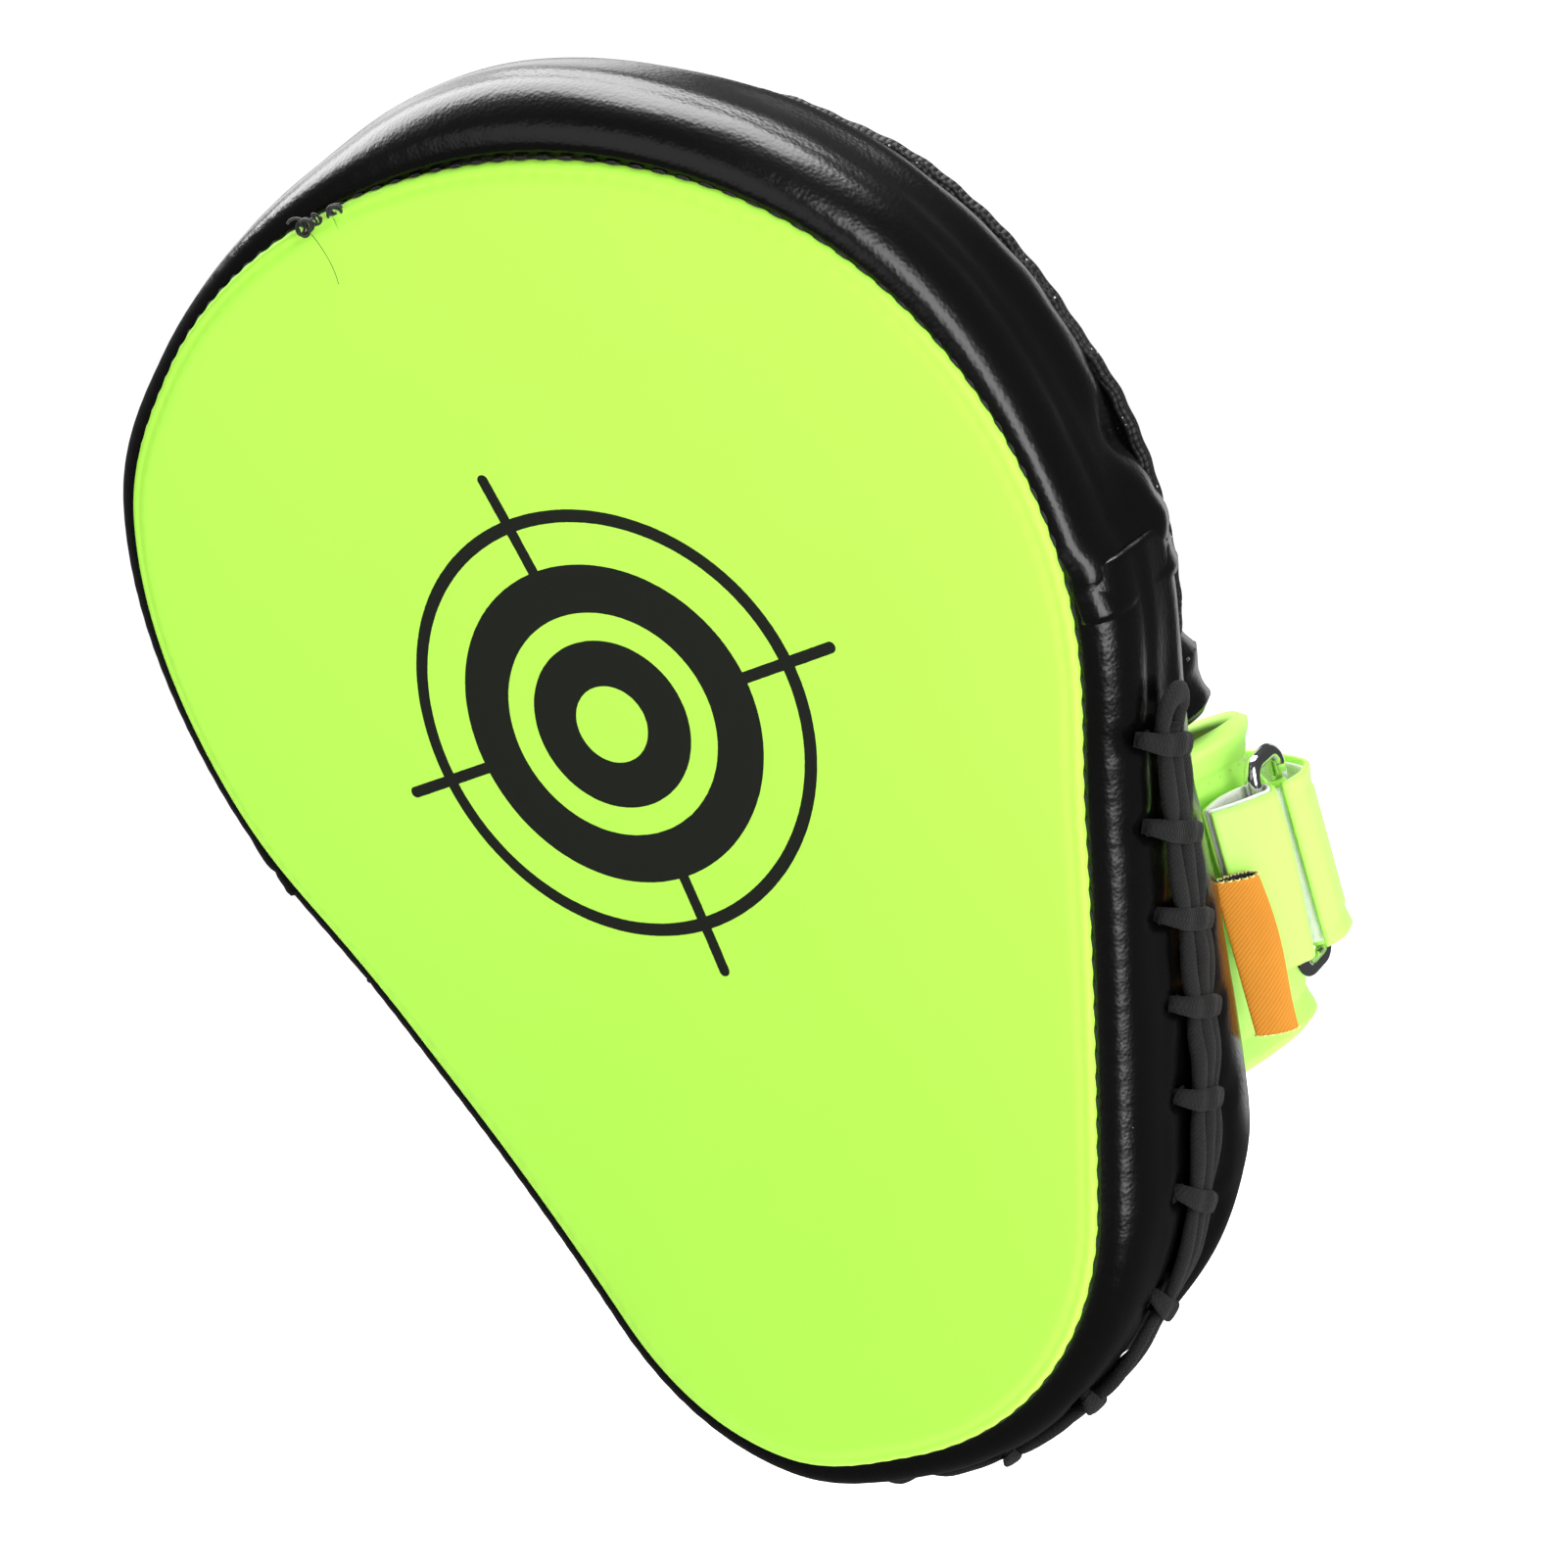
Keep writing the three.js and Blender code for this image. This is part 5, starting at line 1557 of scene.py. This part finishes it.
@dataclass
class Cuff:
    """The wrist cuff: a lime wing and a padded lining on each side, and the strap over them."""

    pad: PadShape
    wardrobe: Wardrobe
    top_z: float = -46.5
    top_drop: float = 12.0
    end_z: float = -109.0
    height: float = 46.0
    bulge: tuple[float, float] = (5.0, 12.0)
    inset: float = 7.0
    wing: float = 1.9
    reach: float = 0.9
    lining: float = 2.5
    strap_top: float = -62.5
    strap_end: float = -95.0
    strap: float = 1.5
    bar_out: tuple[float, float] = (10.0, 69.4)
    bight: float = 4.3

    def path(self, z: float, shares: Grid, side: Side = Side.RIGHT) -> Grid:
        """The cuff's section at a height, at shares of the way from its foot to the apex."""
        foot = float(self.pad.flank_width(z)) - self.inset
        bulge = float(np.interp(-z, (-self.top_z, -self.end_z), self.bulge))
        points = Arch(foot, bulge, self.height, 0.8).points(shares)
        return points * (side.value, 1)

    def wing_surface(self, side: Side) -> tuple[Grid, Grid, Grid]:
        """One wing's middle sheet, its outward directions and its thickness by rows."""
        heights = np.linspace(self.top_z, self.end_z, 70)
        shares = np.linspace(0, self.reach, 60)
        base = arched(self.pad, heights, lambda z: self.path(z, shares, side),
                      lift=side.value * 1.0, drop=self.top_drop)
        normal = sheet_normals(base)
        outward = normal if float(normal[30, 30] @ np.array([side.value, 1, 0])) > 0 else -normal
        from_top = (self.top_z - heights)[:, None]
        from_end = (heights - self.end_z)[:, None]
        foot = smooth(np.linspace(0, 1, 60)[None, :], 0.0, 0.12)
        roll = 1.3 * np.exp(-(from_top / 3.4) ** 2) - 0.8 * np.exp(-((from_top - 7.5) / 1.2) ** 2)
        hem = 0.7 * np.exp(-(from_end / 2.0) ** 2) - 0.45 * np.exp(-((from_end - 4.5) / 0.8) ** 2)
        folds = 0.55 * ripple(base, 24, 15.0) * foot
        points = base + outward * ((roll + hem) * foot + folds)[..., None]
        thick = self.wing + 1.6 * np.exp(-(from_top / 3.0) ** 2) + 0.8 * np.exp(-(from_end / 2.0) ** 2)
        return points, outward, thick

    def make_wing(self, side: Side) -> bpy.types.Object:
        """Makes one lime wing, its upper edge rolled over the padding."""
        points, _, thick = self.wing_surface(side)
        return build_piece(f"cuff_wing_{side.word}_pu", [shell(points, thick)],
                           self.wardrobe.strap.material())

    def make_lining(self, side: Side) -> bpy.types.Object:
        """Makes one padded lining, swollen between three rows of quilting."""
        heights = np.linspace(self.top_z - 2, self.end_z + 2, 60)
        shares = np.linspace(0.03, self.reach - 0.01, 44)
        lift = -side.value * (self.pad.gap + self.lining / 2)
        base = arched(self.pad, heights, lambda z: self.path(z, shares, side), lift=lift,
                      drop=self.top_drop)
        rows = np.linspace(0, 4, 60)[:, None]
        swell = np.abs(np.sin(np.pi * rows)) ** 0.5
        edge = smooth(np.linspace(0, 1, 44), 0, 0.08) * smooth(1 - np.linspace(0, 1, 44), 0, 0.08)
        thick = 1.0 + (self.lining - 0.6) * swell * (0.3 + 0.7 * edge[None, :])
        return build_piece(f"cuff_lining_{side.word}", [shell(base, thick)],
                           self.wardrobe.lining.material())

    def strap_section(self, z: float, lift: float) -> Grid:
        """The strap's section: over the hand from the left wing, then out to the ring's bar."""
        right = self.path(z, np.linspace(0.47, 0.94, 26))
        left = self.path(z, np.linspace(1.0, 0.4, 30), Side.LEFT)
        over = np.concatenate([right, left])
        along = unit(np.gradient(over, axis=0))
        over = over + np.stack([along[:, 1], -along[:, 0]], axis=1) * lift
        bar = self.bar_centre(z)
        angle = np.radians(np.linspace(-45, -165, 12))
        bend = bar + (self.bight - 1.4) * np.stack([np.cos(angle), np.sin(angle)], axis=1)
        share = np.linspace(0, 1, 9)[1:-1, None]
        bridge = bend[-1] * (1 - share) + over[0] * share
        return np.concatenate([bend, bridge, over])

    def bar_centre(self, z: float) -> Grid:
        """The middle of the ring's outer bar in the section at a height."""
        out, y = self.bar_out
        ahead, away = self.pad.flank_along, self.pad.flank_out
        past = (z - self.pad.flank_top[1] - away[2] * out) / ahead[2] - self.pad.lean_middle
        out, y = out + self.pad.lean_out * past, y + self.pad.lean_back * past
        foot = float(self.pad.rear_y(z)) + self.pad.gap
        return np.array([float(self.pad.flank_width(z)) + out / away[0], y - foot])

    def strap_rows(self) -> Grid:
        """The heights of the strap's rows."""
        return np.linspace(self.strap_top, self.strap_end, 36)

    def edged(self, points: Grid, outward: Grid) -> Grid:
        """Turns a strap's long edges over, with a pressed line where they are sewn."""
        share = np.linspace(0, 1, len(points))
        inside = np.minimum(share, 1 - share) * abs(self.strap_top - self.strap_end)
        lift = 0.3 * np.exp(-(inside / 1.3) ** 2) - 0.35 * np.exp(-((inside - 3.4) / 0.7) ** 2)
        return points + outward * lift[:, None, None]

    def make_strap(self) -> list[bpy.types.Object]:
        """Makes the strap's fixed run: lime outside, white cloth inside, and its stitches."""
        lift = self.wing + 0.7 + self.strap / 2
        base = arched(self.pad, self.strap_rows(), lambda z: self.strap_section(z, lift))
        normal = sheet_normals(base)
        middle = normal[18, normal.shape[1] // 2]
        outward = normal if middle[1] > 0 else -normal
        outer = self.edged(base + outward * 0.1, outward)
        coated = build_piece("strap_run", [shell(outer, 0.7)], self.wardrobe.strap.material())
        cloth = build_piece("strap_run_backing", [shell((base - outward * 0.4)[1:-1], 0.3)],
                            self.wardrobe.backing.material())
        sewing = Stitching(pitch=3.6, length=2.6, thread=0.24, proud=0.42)
        patches = []
        for row in (4, -5):
            patches += sewing.row(outer[row, 22:], outward[row, 22:])
        thread = build_piece("strap_run_stitches", patches, self.wardrobe.thread_lime.material())
        return [coated, cloth, thread]

    def flap_section(self, z: float) -> Grid:
        """The free end's section: round the outer bar, then back over the fastener."""
        bar = self.bar_centre(z)
        angle = np.radians(np.linspace(-62, -2, 10))
        bend = bar + self.bight * np.stack([np.cos(angle), np.sin(angle)], axis=1)
        lifted = self.path(z, np.linspace(0.56, 0.9, 30))
        along = unit(np.gradient(lifted, axis=0))
        lifted = lifted + np.stack([along[:, 1], -along[:, 0]], axis=1) * 8.1
        heel = bar + np.array([self.bight - 0.7, 4.2])
        share = np.linspace(0, 1, 8)[1:-1, None]
        ease = bezier([tuple(heel), tuple(heel + (-1.5, 3.2)), tuple(lifted[0] + (3.0, -1.6)),
                       tuple(lifted[0])], share[:, 0])
        return np.concatenate([bend, heel[None], ease, lifted])

    def make_flap(self) -> list[bpy.types.Object]:
        """Makes the strap's free end: lime outside, white cloth inside, and its stitches."""
        base = arched(self.pad, self.strap_rows(), self.flap_section)
        normal = sheet_normals(base)
        outward = normal if normal[18, 30, 1] > 0 else -normal
        outer = self.edged(base + outward * 0.1, outward)
        coated = build_piece("strap_end", [shell(outer, 0.8)], self.wardrobe.strap.material())
        cloth = build_piece("strap_end_backing", [shell((base - outward * 0.45)[1:-1], 0.3)],
                            self.wardrobe.backing.material())
        sewing = Stitching(pitch=3.6, length=2.6, thread=0.24, proud=0.42)
        patches = []
        for row in (4, -5):
            patches += sewing.row(outer[row, 14:-3], outward[row, 14:-3])
        patches += sewing.row(outer[4:-4, -5], outward[4:-4, -5])
        thread = build_piece("strap_end_stitches", patches, self.wardrobe.thread_lime.material())
        return [coated, cloth, thread]

    def make_patch(self, name: str, lift: float, shares: tuple[float, float], thick: float,
                   finish: Finish) -> bpy.types.Object:
        """Makes one half of the touch fastener.

        Args:
            name: The piece's name.
            lift: How far outside the cuff its middle lies.
            shares: Where it starts and ends across the cuff.
            thick: Its thickness.
            finish: Hook or loop.

        Returns:
            The piece.
        """
        heights = np.linspace(self.strap_top - 2, self.strap_end + 2, 26)
        columns = np.linspace(*shares, 30)
        base = arched(self.pad, heights, lambda z: self.path(z, columns), lift=lift)
        return build_piece(name, [shell(base, thick)], finish.material())

    def make_edge_stitches(self) -> bpy.types.Object:
        """Makes the stitch rows along both wings' upper and lower edges."""
        patches = []
        for side in Side:
            points, outward, thick = self.wing_surface(side)
            for row in (9, -6):
                sewing = Stitching(pitch=3.6, length=2.6, thread=0.25, proud=float(thick[row, 0]) / 2)
                patches += sewing.row(points[row, 3:-2], outward[row, 3:-2])
        return build_piece("cuff_edge_stitches", patches, self.wardrobe.thread_lime.material())

    def build(self) -> None:
        """Makes, dresses and places the cuff, its strap and its fastener."""
        for side in Side:
            place(self.make_wing(side), Body.MITT, Slot.LIME_PU, [f"cuff_wing_{side.word}"])
            lining = self.make_lining(side)
            place(lining, Body.MITT, Slot.CUFF_LINING, [f"cuff_pad_{side.word}"])
        place(self.make_edge_stitches(), Body.MITT, Slot.LIME_PU)
        run = self.make_strap()
        place(run[0], Body.MITT, Slot.LIME_PU, ["closure_strap"])
        for piece in run[1:]:
            place(piece, Body.MITT, Slot.LIME_PU)
        end = self.make_flap()
        place(end[0], Body.FLAP, Slot.LIME_PU, ["closure_flap"])
        for piece in end[1:]:
            place(piece, Body.FLAP, Slot.LIME_PU)
        loops = self.make_patch("fastener_loops", 4.9, (0.56, 0.98), 0.9, self.wardrobe.loop)
        place(loops, Body.MITT, Slot.HOOK_AND_LOOP, ["loop_patch"])
        hooks = self.make_patch("fastener_hooks", 6.2, (0.6, 0.86), 0.8, self.wardrobe.hook)
        place(hooks, Body.FLAP, Slot.HOOK_AND_LOOP, ["hook_patch"])


# ---------------------------------------------------------------- ring, anchor and label


@dataclass
class RingAnchor:
    """The short doubled strap that is sewn into the rear seam and holds the ring."""

    pad: PadShape
    wardrobe: Wardrobe
    bar: tuple[float, float] = (9.4, 59.4)
    root: tuple[float, float] = (4.6, 48.9)
    bend: float = 2.6
    start: float = 18.5
    end: float = 51.5

    def loop(self, extra: float) -> Grid:
        """The folded strap's section in the plane square to the flank.

        Args:
            extra: How far outside the middle of the strap to draw it.

        Returns:
            Points as (out, y).
        """
        bar, root = np.array(self.bar), np.array(self.root)
        lean = math.atan2(*(bar - root)[::-1])
        square = np.array([-math.sin(lean), math.cos(lean)])
        angle = lean + np.linspace(-0.6, 0.6, 22) * np.pi
        bend = bar + (self.bend + extra) * np.stack([np.cos(angle), np.sin(angle)], axis=1)
        share = np.linspace(0, 1, 16)[:-1, None]
        low = (root - square * (0.75 + extra)) * (1 - share) + bend[0] * share
        top = (root + square * (0.75 + extra)) * (1 - share) + bend[-1] * share
        bow = 0.9 * np.sin(np.pi * share) * square
        return np.concatenate([low - bow * 0.4, bend, (top + bow)[::-1]])

    def surface(self, extra: float, inset: float) -> Grid:
        """The strap's points, row by row along the flank."""
        along = np.linspace(self.start + inset, self.end - inset, 34)
        section = self.loop(extra)
        points = self.pad.on_flank(along[:, None], section[None, :, 0], section[None, :, 1])
        share = np.linspace(0, 1, 34)[:, None]
        away = np.linspace(0, 1, len(section))[None, :]
        sway = 0.5 * np.sin(np.pi * share * 1.3 + 0.4) * np.sin(np.pi * away)
        return points + sheet_normals(points) * sway[..., None]

    def build(self) -> None:
        """Makes, dresses and places the anchor."""
        coated = build_piece("anchor_strap", [shell(self.surface(0.3, 0.0), 0.9)],
                             self.wardrobe.strap.material())
        place(coated, Body.MITT, Slot.LIME_PU, ["ring_anchor"])
        cloth = build_piece("anchor_backing", [shell(self.surface(-0.45, -0.5), 0.5)],
                            self.wardrobe.backing.material())
        place(cloth, Body.MITT, Slot.LIME_PU)


@dataclass
class BuckleRing:
    """The rectangular ring, bent from chromed wire."""

    pad: PadShape
    wardrobe: Wardrobe
    wire: float = 1.5
    bar_in: tuple[float, float] = (9.4, 59.4)
    bar_out: tuple[float, float] = (10.0, 69.4)
    start: float = 14.0
    end: float = 55.5
    corner: float = 3.0

    def build(self) -> None:
        """Makes, dresses and places the ring."""
        home = self.pad.on_flank(self.start, *self.bar_in)
        along = self.pad.on_flank(self.end, *self.bar_in) - home
        across = self.pad.on_flank(self.start, *self.bar_out) - home
        length, width = float(np.linalg.norm(along)), float(np.linalg.norm(across))
        along, across = unit(along), unit(across)
        path = []
        for u, v, turn in ((0, 0, 180), (length, 0, 270), (length, width, 0), (0, width, 90)):
            hub = home + along * (self.corner if u == 0 else length - self.corner)
            hub = hub + across * (self.corner if v == 0 else width - self.corner)
            for angle in np.radians(turn + np.linspace(0, 90, 9)):
                path.append(hub + self.corner * (along * math.cos(angle) + across * math.sin(angle)))
        path = np.array(path + path[:1])
        up = np.broadcast_to(np.cross(along, across), path.shape)
        ring = build_piece("wire_ring", [sweep(path, up, self.wire, self.wire, sides=20, closed=True)],
                           self.wardrobe.chrome.material())
        place(ring, Body.RING, Slot.RING_CHROME, ["buckle_ring"])


@dataclass
class LabelLoop:
    """The folded label tape that stands out of the rear seam, open at both ends."""

    pad: PadShape
    wardrobe: Wardrobe
    root: tuple[float, float] = (4.4, 44.3)
    tip: tuple[float, float] = (10.5, 49.9)
    half: float = 1.7
    start: float = 30.0
    end: float = 61.0
    tape: float = 0.55

    def loop(self, inset: float) -> Grid:
        """The tape's section in the plane square to the flank, as (out, y), closed."""
        root, tip = np.array(self.root), np.array(self.tip)
        reach = float(np.linalg.norm(tip - root))
        ahead = (tip - root) / reach
        square = np.array([-ahead[1], ahead[0]])
        turn = np.linspace(0, 2 * np.pi, 49)
        along = reach / 2 + (reach / 2 - inset) * np.cos(turn)
        away = (self.half - inset) * np.sin(turn) * (0.75 + 0.25 * np.cos(turn))
        return root + along[:, None] * ahead + away[:, None] * square

    def surface(self, inset: float, short: float) -> Grid:
        """The tape's points, row by row along the flank."""
        along = np.linspace(self.start + short, self.end - short, 40)
        section = self.loop(inset)
        points = self.pad.on_flank(along[:, None], section[None, :, 0], section[None, :, 1])
        share = np.linspace(0, 1, 40)[:, None]
        out = np.maximum(0, np.cos(np.linspace(0, 2 * np.pi, 49)))[None, :]
        lean = 0.7 * np.sin(np.pi * share * 1.5) + 0.5 * share
        return points + self.pad.flank_out * (lean * out)[..., None]

    def build(self) -> None:
        """Makes, dresses and places the label, the painted shade inside it and its edge stitches."""
        outer = self.surface(0.0, 0.0)
        inner = self.surface(self.tape, 0.15)
        tape = build_piece("label_tape", [Patch(outer)], self.wardrobe.twill.material())
        place(tape, Body.LABEL, Slot.LABEL_TWILL, ["label_loop"])
        # The tape's inside and its two cut ends are a dark sheet of painted shade, not the twill's own
        # colour.
        rim = [Patch(np.stack([outer[row], inner[row]])) for row in (0, -1)]
        inside = build_piece("label_inside_shade", [Patch(inner), *rim], self.wardrobe.lining.material())
        place(inside, Body.LABEL, Slot.LABEL_TWILL)
        normal = sheet_normals(outer)
        hub = outer.mean(axis=1, keepdims=True)
        outward = normal if float(np.sum(normal * (outer - hub))) > 0 else -normal
        sewing = Stitching(pitch=1.5, length=1.0, thread=0.16, proud=0.12)
        patches = []
        for row in (0, -1):
            patches += sewing.row(outer[row], outward[row])
        thread = build_piece("label_edge_stitches", patches, self.wardrobe.thread_yellow.material())
        place(thread, Body.LABEL, Slot.LABEL_TWILL)


# ---------------------------------------------------------------- studio


@dataclass
class Studio:
    """A pale paper floor, a white surround, soft lights and the camera."""

    wardrobe: Wardrobe
    floor_z: float = -0.42
    eye: tuple[float, float, float] = (0.35662, -0.490994, 0.11250)
    right: tuple[float, float, float] = (0.77808, 0.45834, -0.42956)
    up: tuple[float, float, float] = (0.25162, 0.39915, 0.88168)
    lens: float = 78.70
    sensor: float = 36.0

    def make_floor(self) -> None:
        """Lays the floor."""
        rows = np.linspace(-6000, 6000, 25)
        x, y = np.meshgrid(rows, rows, indexing="ij")
        points = np.stack([x, y, np.full_like(x, self.floor_z / MM)], axis=-1)
        floor = build_piece("paper_floor", [Patch(points)], self.wardrobe.paper.material())
        floor.visible_glossy = False

    def make_surround(self) -> None:
        """Surrounds the scene with even pale light."""
        world = bpy.data.worlds.new("pale_surround")
        world.use_nodes = True
        tree = world.node_tree
        tree.nodes.clear()
        rays = node(tree, "LightPath")
        seen = node(tree, "Background", None, {"Color": (1, 1, 1, 1), "Strength": 1.05})
        felt = node(tree, "Background", None, {"Color": (1, 1, 1, 1), "Strength": 0.08})
        mixed = node(tree, "MixShader", None, {
            0: rays.outputs["Is Camera Ray"], 1: felt.outputs[0], 2: seen.outputs[0]})
        node(tree, "OutputWorld", None, {"Surface": mixed.outputs[0]})
        bpy.context.scene.world = world

    def add_light(self, name: str, direction: Sequence[float], distance: float,
                  size: tuple[float, float], power: float) -> None:
        """Hangs one soft box that looks at the mitt.

        Args:
            name: The lamp's name.
            direction: Which way it stands from the mitt.
            distance: How far away it stands, in metres.
            size: Its width and height in metres.
            power: Its power in watts.
        """
        data = bpy.data.lights.new(name, "AREA")
        data.shape = "RECTANGLE"
        data.size, data.size_y = size
        data.energy = power
        lamp = bpy.data.objects.new(name, data)
        way = Vector(direction).normalized()
        facing = way.to_track_quat("Z", "Y").to_matrix().to_4x4()
        lamp.matrix_world = Matrix.Translation(way * distance) @ facing
        bpy.context.scene.collection.objects.link(lamp)

    def make_camera(self) -> None:
        """Sets up the camera."""
        data = bpy.data.cameras.new("camera")
        data.lens, data.sensor_width = self.lens, self.sensor
        data.clip_start, data.clip_end = 0.01, 50.0
        camera = bpy.data.objects.new("camera", data)
        back = Vector(self.right).cross(Vector(self.up))
        axes = Matrix((self.right, self.up, back)).transposed().to_4x4()
        camera.matrix_world = Matrix.Translation(self.eye) @ axes
        bpy.context.scene.collection.objects.link(camera)
        bpy.context.scene.camera = camera

    def build(self) -> None:
        """Sets up the whole studio."""
        self.make_floor()
        self.make_surround()
        self.add_light("front_key", (0.0, -1.0, 0.4), 1.6, (1.6, 1.2), 3.8)
        self.add_light("upper_box", (-0.12, 0.36, 0.93), 1.1, (2.0, 0.7), 34.0)
        self.add_light("rear_top_box", (-0.5, 0.68, 0.5), 1.3, (0.8, 0.6), 3.0)
        self.add_light("right_box", (0.86, -0.45, 0.0), 1.1, (0.5, 1.4), 12.0)
        self.add_light("back_card", (0.0, 0.98, -0.15), 1.2, (0.5, 1.0), 1.6)
        self.make_camera()
        bpy.context.scene.view_settings.view_transform = "Standard"


# ---------------------------------------------------------------- assembly


def main() -> None:
    """Builds the mitt piece by piece, then the studio round it."""
    logging.basicConfig(level=logging.INFO, format="%(name)s: %(message)s")
    pad, wardrobe = PadShape(), Wardrobe()
    lacing = Lacing(pad, wardrobe)
    assembly = (
        StrikeFace(pad, wardrobe),
        FoamLayer(pad, wardrobe, "strike_foam", Slot.SOFT_FOAM, 0.0, 0.36, (-3.4, 1.6)),
        FoamLayer(pad, wardrobe, "foam_core", Slot.DENSE_FOAM, 0.4, 0.62, (1.8, 1.8)),
        FoamLayer(pad, wardrobe, "palm_foam", Slot.SOFT_FOAM, 0.66, 0.95, (1.8, 0.4)),
        SideWall(pad, lacing, wardrobe, WallPart.UPPER),
        SideWall(pad, lacing, wardrobe, WallPart.LOWER),
        EdgeBinding(pad, wardrobe),
        lacing,
        BackPanel(pad, wardrobe),
        PalmGrip(pad, wardrobe),
        HandCover(pad, wardrobe),
        Cuff(pad, wardrobe),
        RingAnchor(pad, wardrobe),
        BuckleRing(pad, wardrobe),
        LabelLoop(pad, wardrobe),
    )
    for part in assembly:
        part.build()
        LOG.info("%s is finished", type(part).__name__)
    Studio(wardrobe).build()


if __name__ == "__main__":
    main()
